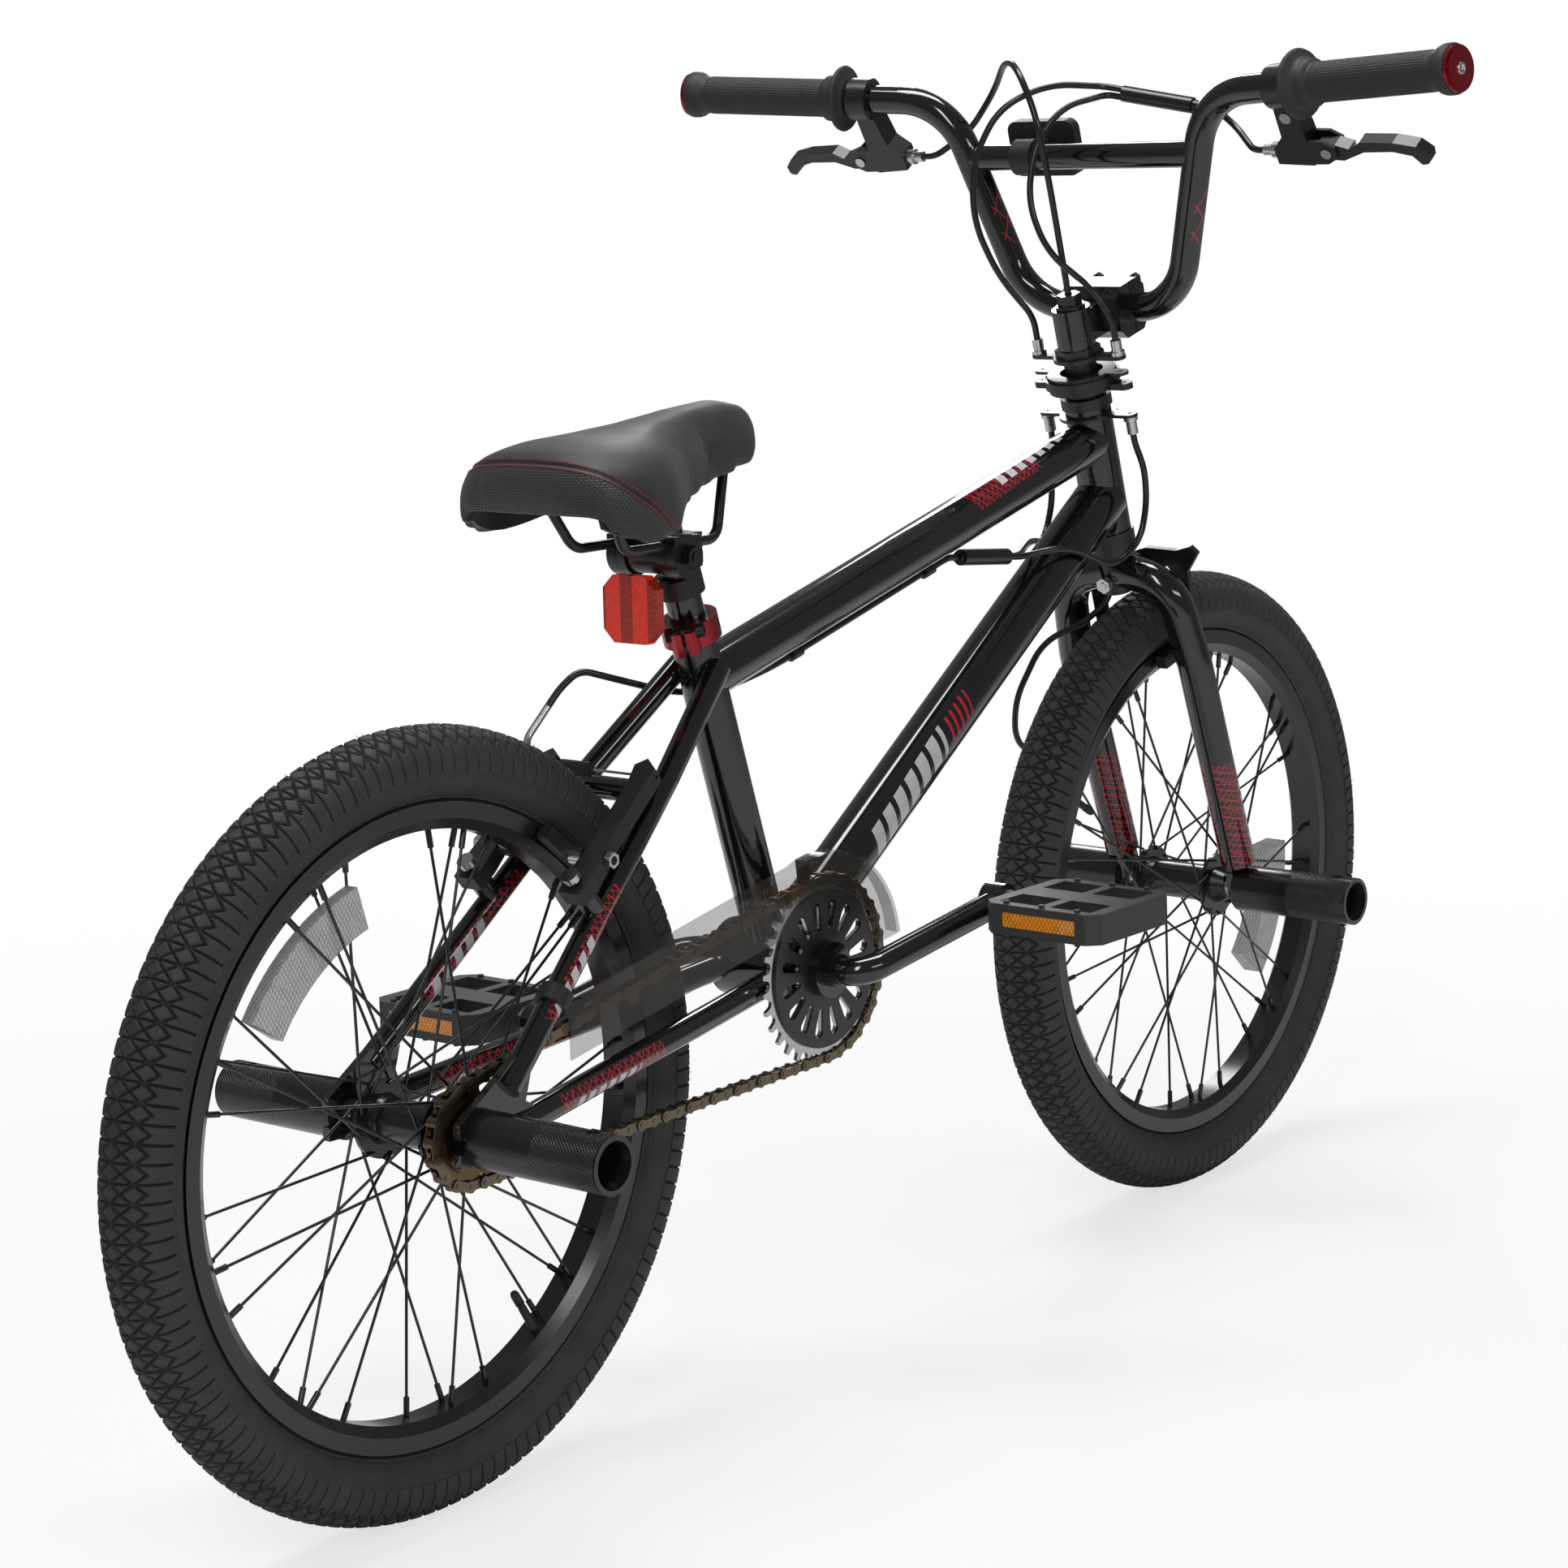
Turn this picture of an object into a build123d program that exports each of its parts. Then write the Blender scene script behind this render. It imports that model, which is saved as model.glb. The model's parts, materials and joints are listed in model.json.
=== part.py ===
from build123d import *
import math
import os

os.makedirs("parts", exist_ok=True)

# A 20 inch freestyle bike. Millimetres. X points forward, Y to the rider's left, Z up.
# The origin is on the ground, midway between the two axles.

# Wheels
wheelbase = 912.0
wheel_radius = 257.0
tyre_section = 25.0
tyre_wall = 3.5
bead_radius = 203.3
bead_wall = 3.4
rim_half = 14.0
rim_outer = 209.0
rim_inner = 191.0
rim_wall = 1.8
spoke_count = 36
spoke_crossings = 3
spoke_radius = 1.0
nipple_radius = 2.0
nipple_length = 12.0
flange_radius = 26.0
flange_thickness = 3.0
hub_radius = 15.0
valve_radius = 3.0
valve_length = 33.0
reflector_length = 107.0
rear_lens_half = 5.0
front_lens_half = 9.0
freewheel_bore = 17.0

# Axles and pegs
axle_radius = 5.0
axle_stub = 20.0
rear_over_locknut = 110.0
front_over_locknut = 100.0
dropout_thickness = 6.0
peg_radius = 19.0
peg_bore = 15.5
peg_length = 106.0
peg_base = 6.0
nut_radius = 9.0
nut_height = 8.0

# Drive train
chain_pitch = 12.7
chain_links = 82
ring_teeth = 32
cog_teeth = 16
roller_radius = 3.85
chain_line = 44.5
bb_rise = 37.0
bb_shell_radius = 28.5
bb_shell_bore = 25.7
bb_half_width = 34.0
spindle_radius = 12.0
crank_length = 140.0
crank_angle = 12.5
crank_rod = 10.0
crank_offset = 100.0
crank_bend = 80.0
sprocket_thickness = 2.8
face_radius = 56.5
face_thickness = 2.0
slot_count = 16
pedal_length = 100.0
pedal_width = 97.0
pedal_height = 26.0
pedal_offset = 121.0
pedal_spindle = 6.0
barrel_radius = 11.0

# Frame
seat_angle = 72.0
seat_tube_radius = 15.9
seat_tube_wall = 3.0
seat_tube_top = 548.0
top_tube_radius = 17.5
down_tube_radius = 20.7
head_tube_radius = 18.0
head_tube_bore = 16.4
top_tube_seat = 507.0
top_tube_head = 90.0
down_tube_head = 42.0
chain_stay_radius = 9.0
seat_stay_radius = 8.5
tube_wall = 1.6
stay_spread = 61.0
stud_distance = 175.0
stud_offset = 26.0

# Steering
head_angle = 74.0
fork_rake = 22.0
axle_to_crown = 308.0
head_low = 14.0
head_high = 118.0
steerer_radius = 12.7
steerer_bore = 11.2
steerer_low = -38.0
steerer_high = 156.0
fork_leg_radius = 14.0
fork_leg_wall = 2.2
fork_leg_spread = 56.5
fork_bend = 100.0
crown_height = -31.0
caliper_height = -27.0
caliper_bolt = 3.0

# Cockpit
bar_radius = 11.1
bar_wall = 2.0
stem_height = 183.0
stem_reach = 45.0
stem_low = 166.5
stem_high = 198.0
stem_radius = 15.0
stem_half = 26.0
bar_base = 69.0
bar_shoulder = 119.0
bar_rise = 167.0
bar_tip_rise = 21.0
riser_lean = 4.0
bar_sweep = 32.0
bar_end = 348.0
crossbar_radius = 10.0
crossbar_height = 304.0
grip_radius = 14.8
grip_flange = 26.0
grip_end_radius = 18.4
grip_start = 204.0
lever_place = 193.0
lever_drop = 55.0
lever_pivot = 215.0
lever_half = 5.8
lever_pin = 2.5
barrel_drop = 57.0

# Saddle and post
post_bottom = 430.0
post_bore = 9.5
post_radius = 12.6
stub_radius = 11.0
post_step = 583.0
post_top = 612.0
rail_radius = 3.5
rail_spread = 22.0
rail_height = 605.0
clamp_height = 597.0
clamp_radius = 15.0
clamp_bolt_radius = 4.0
reflector_height = 576.0

# Brakes
pad_gap = 2.2
pad_depth = 9.0
pad_post = 3.0
rear_arm_thickness = 12.0
noodle_radius = 2.6

# Chain guard
guard_side = 51.8
guard_wall = 1.6
guard_depth = 12.0
guard_outer = 84.0
guard_inner = 60.0
guard_front = 8.0
guard_back = 112.0
guard_tail = 92.0

# Gyro
gyro_arm = 36.5
gyro_lower_height = 110.0
gyro_ring_height = 133.0
gyro_upper_height = 157.0
cable_radius = 2.5
wire_radius = 0.9

# Clearances
running = 0.08
gap = 0.3
fit = 0.1

rear_axle = Vector(-wheelbase / 2, 0, wheel_radius)
front_axle = Vector(wheelbase / 2, 0, wheel_radius)
left = Vector(0, 1, 0)

ring_pitch_radius = chain_pitch / 2 / math.sin(math.pi / ring_teeth)
cog_pitch_radius = chain_pitch / 2 / math.sin(math.pi / cog_teeth)


def links_for(centres):
    """How many links a closed chain takes at this distance between the two centres."""
    slope = math.asin((ring_pitch_radius - cog_pitch_radius) / centres)
    ring_share = ring_teeth * (math.pi + 2 * slope) / (2 * math.pi)
    cog_share = cog_teeth * (math.pi - 2 * slope) / (2 * math.pi)
    return ring_share + cog_share + 2 * centres * math.cos(slope) / chain_pitch


centre_low = 2.5 * ring_pitch_radius
centre_high = chain_links * chain_pitch / 2
for _ in range(50):
    centre_distance = (centre_low + centre_high) / 2
    if links_for(centre_distance) > chain_links:
        centre_high = centre_distance
    else:
        centre_low = centre_distance

bb = rear_axle + Vector(math.sqrt(centre_distance**2 - bb_rise**2), 0, bb_rise)

seat_lean = math.radians(seat_angle)
head_lean = math.radians(head_angle)
up_axis = Vector(-math.cos(head_lean), 0, math.sin(head_lean))
fore_axis = Vector(math.sin(head_lean), 0, math.cos(head_lean))
crown = front_axle - fore_axis * fork_rake + up_axis * axle_to_crown


def steer(along, ahead=0.0, side=0.0):
    """A point in the fork's frame: up the steering axis, ahead of it and to the left."""
    return crown + up_axis * along + fore_axis * ahead + left * side


def seat_point(height, side=0.0, ahead=0.0):
    """A point on the seat tube's axis at a height, moved sideways and ahead of it."""
    reach = (height - bb.Z) / math.tan(seat_lean)
    return Vector(bb.X - reach + ahead, side, height)


def rod(start, end, radius):
    start = Vector(start)
    line = Vector(end) - start
    return Solid.make_cylinder(radius, line.length, Plane(origin=start, z_dir=line))


def ring(start, end, outer, inner):
    line = (Vector(end) - Vector(start)).normalized()
    return rod(start, end, outer) - rod(Vector(start) - line, Vector(end) + line, inner)


def hexagon(start, end, radius):
    line = Vector(end) - Vector(start)
    face = Plane(origin=start, z_dir=line) * RegularPolygon(radius, 6)
    return extrude(face, amount=line.length)


def block(plane, x_span, y_span, z_span):
    size = [span[1] - span[0] for span in (x_span, y_span, z_span)]
    middle = [(span[1] + span[0]) / 2 for span in (x_span, y_span, z_span)]
    return plane * Pos(*middle) * Box(*size)


def bent(points, radii, radius, wall=None):
    """A round bar, or a tube when it has a wall, along straight runs joined by arcs."""
    path = FilletPolyline(*points, radius=radii)
    start = Plane(origin=path @ 0, z_dir=path % 0)
    section = Circle(radius) if wall is None else Circle(radius) - Circle(radius - wall)
    return sweep(start * section, path=path)


def arc_radii(points):
    """The largest arc that each corner's two runs leave room for."""
    radii = []
    for before, here, after in zip(points, points[1:], points[2:]):
        run_in = Vector(here) - Vector(before)
        run_out = Vector(after) - Vector(here)
        half_turn = math.radians(run_in.get_angle(run_out)) / 2
        radii.append(0.45 * min(run_in.length, run_out.length) / math.tan(half_turn))
    return radii


def cable(name, points, radius=cable_radius):
    """A round cable along its route, with its volume compared with a straight one."""
    radii = arc_radii(points)
    path = FilletPolyline(*points, radius=radii)
    tube = sweep(Plane(origin=path @ 0, z_dir=path % 0) * Circle(radius), path=path)
    share = tube.volume / (math.pi * radius**2 * path.length)
    corners = [round(corner, 1) for corner in radii]
    print(name, "length", round(path.length), "radii", corners, round(share, 4))
    return tube


def mirrored(shapes):
    return [shape.mirror(Plane.XZ) for shape in solids_of(shapes)]


def solids_of(*shapes):
    found = []
    for shape in shapes:
        if isinstance(shape, (list, tuple)):
            found += solids_of(*shape)
        else:
            found += shape.solids()
    return found


def largest(shape):
    """The main solid of a cut, without its slivers."""
    return shape.solids().sort_by(SortBy.VOLUME)[-1]


def write(name, *shapes):
    export_step(Compound(solids_of(*shapes)), "parts/" + name + ".step")


def turned_profile(centre, points):
    """A closed outline of (side, radius) points turned about a wheel's axle."""
    plane = Plane(origin=centre, x_dir=(0, 1, 0), z_dir=(1, 0, 0))
    face = plane * make_face(Polyline(*points, close=True))
    return revolve(face, axis=Axis(centre, (0, 1, 0)))


# Wheels


def tyre(centre):
    plane = Plane(origin=centre, x_dir=(0, 1, 0), z_dir=(1, 0, 0))
    middle = wheel_radius - tyre_section
    mouth = rim_half - rim_wall - fit - bead_wall
    carcass = Pos(0, middle) * Circle(tyre_section) - Pos(0, middle) * Circle(tyre_section - tyre_wall)
    below = Pos(0, rim_outer + 0.5 - tyre_section) * Rectangle(4 * tyre_section, 2 * tyre_section)
    slot = Pos(0, middle - tyre_section) * Rectangle(2 * mouth, tyre_section)
    bead_high = rim_outer + 4.0
    profile = carcass - below - slot
    for side in (-1, 1):
        place = Pos(side * (mouth + bead_wall / 2), (bead_radius + bead_high) / 2)
        profile += place * Rectangle(bead_wall, bead_high - bead_radius)
    return revolve(plane * profile, axis=Axis(centre, (0, 1, 0)))


def valve(centre, angle, radius, start, end):
    line = Vector(math.cos(angle), 0, math.sin(angle))
    return rod(centre + line * start, centre + line * end, radius)


def rim(centre, valve_angle):
    inside = rim_half - rim_wall
    outline = [
        (-rim_half, rim_outer),
        (-rim_half, rim_inner + 7),
        (-rim_half + 5, rim_inner),
        (rim_half - 5, rim_inner),
        (rim_half, rim_inner + 7),
        (rim_half, rim_outer),
        (inside, rim_outer),
        (inside, rim_inner + 8),
        (rim_half - 6, rim_inner + 2.5),
        (-rim_half + 6, rim_inner + 2.5),
        (-inside, rim_inner + 8),
        (-inside, rim_outer),
    ]
    hole = valve(centre, valve_angle, valve_radius + gap, rim_inner - 5, rim_outer)
    return turned_profile(centre, outline) - hole


def hub(centre, flange_left, flange_right, end_left, end_right):
    """A hub shell with two flanges, bored for its axle."""
    bore = axle_radius + running
    half = flange_thickness / 2
    outline = [
        (-end_right, bore),
        (-end_right, hub_radius * 0.75),
        (-flange_right - half, hub_radius),
        (-flange_right - half, flange_radius),
        (-flange_right + half, flange_radius),
        (-flange_right + half, hub_radius + 2),
        (-flange_right + 8, hub_radius),
        (flange_left - 8, hub_radius),
        (flange_left - half, hub_radius + 2),
        (flange_left - half, flange_radius),
        (flange_left + half, flange_radius),
        (flange_left + half, hub_radius),
        (end_left, hub_radius * 0.75),
        (end_left, bore),
    ]
    return turned_profile(centre, outline)


def spokes(centre, flange_left, flange_right):
    """Laced spokes, each with its nipple, standing clear of one another where they cross."""
    made = []
    each = spoke_count // 2
    step = 2 * math.pi / each
    hole_radius = flange_radius - 3.0
    half = flange_thickness / 2 + spoke_radius + 0.1
    for side, flange in ((1, flange_left), (-1, -flange_right)):
        start_angle = 0.0 if side > 0 else step / 2
        for index in range(each):
            trailing = index % 2
            direction = 1 if trailing else -1
            hole = start_angle + index * step
            turn = direction * (spoke_crossings * step - step / 2) + direction * step / 4
            rim_angle = hole + turn
            lift = side * (half + 0.9 if trailing else -half)
            low = Vector(hole_radius * math.cos(hole), flange + lift, hole_radius * math.sin(hole))
            reach = rim_inner - 0.4
            high = Vector(reach * math.cos(rim_angle), side * 4.0, reach * math.sin(rim_angle))
            line = (high - low).normalized()
            knee = high - line * nipple_length
            made.append(rod(centre + low, centre + knee, spoke_radius))
            made.append(rod(centre + knee, centre + high, nipple_radius))
    return made


def wheel_reflector(centre, middle_angle, low, high, half):
    """A clear curved reflector held between the two rows of spokes."""
    plane = Plane(origin=centre, x_dir=(math.cos(middle_angle), 0, math.sin(middle_angle)), z_dir=(0, -1, 0))
    reach = reflector_length / (low + high)
    band = Pos(0, 0, -half) * (Circle(high) - Circle(low))
    lens = plane * extrude(band, amount=2 * half)
    for way in (-1, 1):
        edge = Vector(math.cos(way * reach), math.sin(way * reach), 0)
        side = Plane(origin=(0, 0, 0), x_dir=edge, z_dir=(0, 0, 1))
        lens -= plane * side * Pos(0, way * 2 * high, 0) * Box(8 * high, 4 * high, 40)
    return lens.solids().sort_by(SortBy.VOLUME)[-1]


# Drive train


def sprocket(centre, teeth, pitch_radius, first_angle, y_low, y_high):
    """A toothed disc whose gullets sit on the chain's rollers."""
    gullet = roller_radius + 0.35
    step = 2 * math.pi / teeth
    edges = []
    tip_radius = pitch_radius + 3.4
    tip_half = 0.12 * step
    seat_half = math.radians(62)
    for index in range(teeth):
        angle = first_angle + index * step
        radial = Vector(math.cos(angle), math.sin(angle), 0)
        across = Vector(-math.sin(angle), math.cos(angle), 0)
        middle = radial * pitch_radius
        down = middle - radial * gullet
        low = middle + across * (-gullet * math.sin(seat_half)) - radial * (gullet * math.cos(seat_half))
        high = middle + across * (gullet * math.sin(seat_half)) - radial * (gullet * math.cos(seat_half))
        ahead = angle + step / 2
        tip_in = Vector(math.cos(ahead - tip_half), math.sin(ahead - tip_half), 0) * tip_radius
        tip_out = Vector(math.cos(ahead + tip_half), math.sin(ahead + tip_half), 0) * tip_radius
        after = angle + step
        next_radial = Vector(math.cos(after), math.sin(after), 0)
        next_across = Vector(-math.sin(after), math.cos(after), 0)
        next_low = (
            next_radial * (pitch_radius - gullet * math.cos(seat_half))
            - next_across * (gullet * math.sin(seat_half))
        )
        edges.append(ThreePointArc(low, down, high))
        edges.append(Line(high, tip_in))
        edges.append(Line(tip_in, tip_out))
        edges.append(Line(tip_out, next_low))
    plane = Plane(origin=(centre.X, y_high, centre.Z), x_dir=(1, 0, 0), z_dir=(0, -1, 0))
    return extrude(plane * make_face(edges), amount=y_high - y_low)


def on_sprocket(centre, radius, angle):
    """A point on a pitch circle, as (x, z)."""
    return (centre.X + radius * math.cos(angle), centre.Z + radius * math.sin(angle))


def between(start, end, share):
    return (start[0] + (end[0] - start[0]) * share, start[1] + (end[1] - start[1]) * share)


def chain_points():
    """The chain's pins in order, as (x, z), and the angles of each sprocket's first meshed pin."""
    line = bb - rear_axle
    heading = math.atan2(line.Z, line.X)
    slope = math.asin((ring_pitch_radius - cog_pitch_radius) / centre_distance)
    lower = heading - math.pi / 2 - slope
    upper = heading + math.pi / 2 + slope
    ring_step = 2 * math.pi / ring_teeth
    cog_step = 2 * math.pi / cog_teeth
    ring_links = (upper - lower) / ring_step
    run_links = centre_distance * math.cos(slope) / chain_pitch
    cog_links = (2 * math.pi - (upper - lower)) / cog_step
    ring_ends = [on_sprocket(bb, ring_pitch_radius, angle) for angle in (lower, upper)]
    cog_ends = [on_sprocket(rear_axle, cog_pitch_radius, angle) for angle in (lower, upper)]
    points = []
    for link in range(chain_links):
        place = float(link)
        after_ring = place - ring_links
        after_run = after_ring - run_links
        after_cog = after_run - cog_links
        if after_ring <= 0:
            points.append(on_sprocket(bb, ring_pitch_radius, lower + place * ring_step))
        elif after_run <= 0:
            points.append(between(ring_ends[1], cog_ends[1], after_ring / run_links))
        elif after_cog <= 0:
            points.append(on_sprocket(rear_axle, cog_pitch_radius, upper + after_run * cog_step))
        else:
            points.append(between(cog_ends[0], ring_ends[0], after_cog / run_links))
    first_on_cog = math.ceil(ring_links + run_links) - ring_links - run_links
    return points, lower, upper + first_on_cog * cog_step


def link_plate(length, radius, low, high):
    """A chain plate that is round at both ends, between two distances across the chain."""
    plate = Pos(0, 0) * Circle(radius) + Pos(length, 0) * Circle(radius)
    plate += Pos(length / 2, 0) * Rectangle(length, radius * 1.5)
    return extrude(Pos(0, 0, low) * plate, amount=high - low)


def chain(points):
    roller = roller_radius
    inner = []
    outer = []
    half_inner = sprocket_thickness / 2 + 0.35
    for sign in (-1, 1):
        span = sorted((sign * half_inner, sign * (half_inner + 1.1)))
        inner.append(link_plate(chain_pitch, 4.1, *span))
        span = sorted((sign * (half_inner + 1.25), sign * (half_inner + 2.35)))
        outer.append(link_plate(chain_pitch, 4.0, *span))
    inner_link = inner[0] + inner[1]
    outer_link = outer[0] + outer[1]
    for x in (0, chain_pitch):
        inner_link += rod((x, 0, -half_inner), (x, 0, half_inner), roller)
        outer_link += rod((x, 0, -half_inner - 2.8), (x, 0, half_inner + 2.8), 1.7)
    for x in (0, chain_pitch):
        inner_link -= rod((x, 0, -half_inner - 2), (x, 0, half_inner + 2), 1.85)
    made = []
    for index, (x, z) in enumerate(points):
        next_x, next_z = points[(index + 1) % len(points)]
        plane = Plane(origin=(x, -chain_line, z), x_dir=(next_x - x, 0, next_z - z), z_dir=(0, -1, 0))
        made.append(plane * (inner_link if index % 2 else outer_link))
    return made


def teardrop_slots(centre, y_low, y_high):
    made = []
    plane = Plane(origin=(centre.X, y_high, centre.Z), x_dir=(1, 0, 0), z_dir=(0, -1, 0))
    for index in range(slot_count):
        wide = Pos(45, 0) * Circle(4.4)
        slot = wide + Pos(31, 0) * Circle(2.4) + make_face(
            Polyline((31, -2.4), (45, -4.4), (45, 4.4), (31, 2.4), close=True)
        )
        turn = Rot(0, 0, 360 * (index + 0.5) / slot_count)
        made += solids_of(extrude(plane * (turn * slot), amount=y_high - y_low))
    return made


def crank_point(reach, side):
    angle = math.radians(crank_angle)
    way = -1 if side < 0 else 1
    return Vector(bb.X - way * reach * math.cos(angle), side, bb.Z - way * reach * math.sin(angle))


def crank_set():
    """A one-piece crank: spindle, two bent arms and their pedal eyes."""
    made = rod((bb.X, -crank_bend + 18, bb.Z), (bb.X, crank_bend - 18, bb.Z), spindle_radius)
    for way in (-1, 1):
        points = [
            Vector(bb.X, way * (crank_bend - 22), bb.Z),
            Vector(bb.X, way * crank_bend, bb.Z),
            crank_point(crank_length - 8, way * crank_offset),
        ]
        made += bent(points, [20.0], crank_rod)
        eye = crank_point(crank_length, way * crank_offset)
        made += rod(eye - left * 8, eye + left * 8, crank_rod + 3.5)
    for way in (-1, 1):
        eye = crank_point(crank_length, way * crank_offset)
        made -= rod(eye - left * 9, eye + left * 9, pedal_spindle + fit)
    return made


def pedal_axle(way):
    eye = crank_point(crank_length, way * crank_offset)
    end = crank_point(crank_length, way * (pedal_offset + pedal_width - 8))
    spindle = rod(eye - left * way * 8, end, pedal_spindle)
    flat_start = crank_point(crank_length, way * (crank_offset + 8.2))
    flat_end = crank_point(crank_length, way * (crank_offset + 15))
    return [spindle + hexagon(flat_start, flat_end, 9.5)]


def pedal(way):
    """A platform pedal: a pierced body on a barrel, traction studs and reflectors."""
    centre = crank_point(crank_length, way * (pedal_offset + pedal_width / 2))
    plane = Plane(origin=centre, x_dir=(1, 0, 0), z_dir=(0, 0, 1))
    half_x = pedal_length / 2
    half_y = pedal_width / 2
    half_z = pedal_height / 2
    body = block(plane, (-half_x, half_x), (-half_y, half_y), (-half_z + 2, half_z - 2))
    body = chamfer(body.edges().filter_by(Axis.Z), 9)
    for x_way in (-1, 1):
        for y_way in (-1, 1):
            spans = []
            for sign, low, high in ((x_way, barrel_radius + 2, half_x - 9), (y_way, 4, half_y - 10)):
                spans.append(tuple(sorted((sign * low, sign * high))))
            body -= block(plane, spans[0], spans[1], (-half_z, half_z))
    barrel_end = left * (half_y - 0.5)
    body += rod(centre - barrel_end, centre + barrel_end, barrel_radius)
    for x_way in (-1, 1):
        recess = tuple(sorted((x_way * (half_x - 2.5), x_way * (half_x + 1))))
        body -= block(plane, recess, (-31, 31), (-5.5, 5.5))
    hole_end = left * way * (half_y - 6)
    body -= rod(centre - left * way * (half_y + 1), centre + hole_end, pedal_spindle + running)
    for x in (-half_x + 5, half_x - 5):
        for y in (-30, 0, 30):
            for z_way in (-1, 1):
                base = centre + Vector(x, y, z_way * (half_z - 3))
                body += rod(base, centre + Vector(x, y, z_way * half_z), 2.2)
    lenses = []
    for x_way in (-1, 1):
        span = tuple(sorted((x_way * (half_x - 2.4), x_way * (half_x - 0.4))))
        lenses.append(block(plane, span, (-30.5, 30.5), (-5.2, 5.2)))
    return [body, lenses]


# Frame


head_bottom = steer(head_low)
head_top = steer(head_high)
head_solid = rod(head_bottom, head_top, head_tube_radius)
seat_solid = rod(seat_point(bb.Z), seat_point(seat_tube_top), seat_tube_radius)
shell_solid = rod(bb - left * bb_half_width, bb + left * bb_half_width, bb_shell_radius)
top_start = seat_point(top_tube_seat)
top_end = steer(top_tube_head)
top_solid = rod(top_start, top_end, top_tube_radius)
down_end = steer(down_tube_head)
down_solid = rod(bb, down_end, down_tube_radius)


def frame_tubes():
    head = head_solid - rod(steer(head_low - 1), steer(head_high + 1), head_tube_bore)
    write("head_tube", head)
    bore = rod(top_start, top_end, top_tube_radius - tube_wall)
    write("top_tube", largest(top_solid - bore - head_solid - seat_solid))
    bore = rod(bb, down_end, down_tube_radius - tube_wall)
    write("down_tube", largest(down_solid - bore - head_solid - shell_solid - top_solid))
    bore = rod(seat_point(bb.Z), seat_point(seat_tube_top + 5), seat_tube_radius - seat_tube_wall)
    write("seat_tube", largest(seat_solid - bore - shell_solid - down_solid))
    shell = shell_solid - rod(bb - left * 40, bb + left * 40, bb_shell_bore)
    write("bottom_bracket_shell", shell)


def chain_stay(way):
    start = Vector(bb.X - 20, way * 27, bb.Z - 2)
    end = Vector(rear_axle.X + 30, way * (stay_spread - 2), rear_axle.Z + 2)
    stay = ring(start, end, chain_stay_radius, chain_stay_radius - tube_wall)
    return stay - rod(bb - left * 60, bb + left * 60, bb_shell_radius)


stay_low = Vector(rear_axle.X + 20, stay_spread, rear_axle.Z + 28)
stay_knee = Vector(rear_axle.X + 215, 34, rear_axle.Z + 195)
stay_top = seat_point(516, 17)
stay_line = (stay_knee - stay_low).normalized()


def on_stay_at(distance):
    """The point of the left stay's lower run at this distance from the axle, seen from the side."""
    low = 0.0
    high = (stay_knee - stay_low).length
    for _ in range(40):
        middle = (low + high) / 2
        point = stay_low + stay_line * middle
        if math.hypot(point.X - rear_axle.X, point.Z - rear_axle.Z) > distance:
            high = middle
        else:
            low = middle
    return point


stud_foot = on_stay_at(stud_distance)
stay_side = Vector(stay_line.X, 0, stay_line.Z).normalized()
stud_axis = Vector(-stay_side.Z, 0, stay_side.X)


def seat_stay():
    """The left stay: a straight run from the dropout, then a bend up to the seat tube."""
    return bent([stay_low, stay_knee, stay_top], [60.0], seat_stay_radius) - seat_solid - top_solid


def dropout():
    """The left dropout plate, slotted rearwards for the axle."""
    plane = Plane(origin=rear_axle + left * (rear_over_locknut / 2), x_dir=(1, 0, 0), z_dir=(0, -1, 0))
    outline = Polyline(
        (-24, -14), (18, -15), (48, -7), (50, 9), (37, 17), (43, 36), (31, 48), (2, 30), (-24, 14), close=True
    )
    plate = extrude(plane * make_face(outline), amount=-dropout_thickness)
    slot_radius = axle_radius + fit
    slot = rod(rear_axle + left * 50, rear_axle + left * 70, slot_radius)
    slot += block(plane, (-30, 0), (-slot_radius, slot_radius), (-20, 5))
    return plate - slot


def rear_triangle():
    plate = dropout()
    lower = largest(chain_stay(1) - plate)
    write("chain_stays", lower, mirrored([lower]), plate, mirrored([plate]))
    stay = largest(seat_stay() - plate - chain_stay(1))
    bridge_end = stay_knee - stay_line * 14
    bridge = rod(bridge_end, Vector(bridge_end.X, -bridge_end.Y, bridge_end.Z), 8.0)
    bridge = largest(bridge - stay - stay.mirror(Plane.XZ))
    stud = rod(stud_foot, stud_foot + stud_axis * (stud_offset - 8), 7.5)
    stud += rod(stud_foot, stud_foot + stud_axis * (stud_offset + 9), 4.0)
    stud = largest(stud - stay)
    write("seat_stays", stay, mirrored([stay]), bridge, stud, mirrored([stud]))


def bearing_cups():
    made = []
    bearing_bore = spindle_radius + running
    for way in (-1, 1):
        lip_start = bb + left * way * bb_half_width
        cup = ring(bb + left * way * 24, lip_start, bb_shell_bore - fit, bearing_bore)
        made.append(cup + ring(lip_start, lip_start + left * way * 2.5, 28.0, bearing_bore))
    lower = ring(steer(head_low), steer(2.0), 20.0, steerer_radius + gap)
    lower += ring(steer(head_low), steer(head_low + 9), head_tube_bore - fit, steerer_radius + running)
    upper = ring(steer(head_high), steer(head_high + 9), 20.0, steerer_radius + gap)
    upper += ring(steer(head_high - 9), steer(head_high), head_tube_bore - fit, steerer_radius + running)
    write("bearing_cups", made, lower, upper)


# Seat post and saddle


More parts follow.
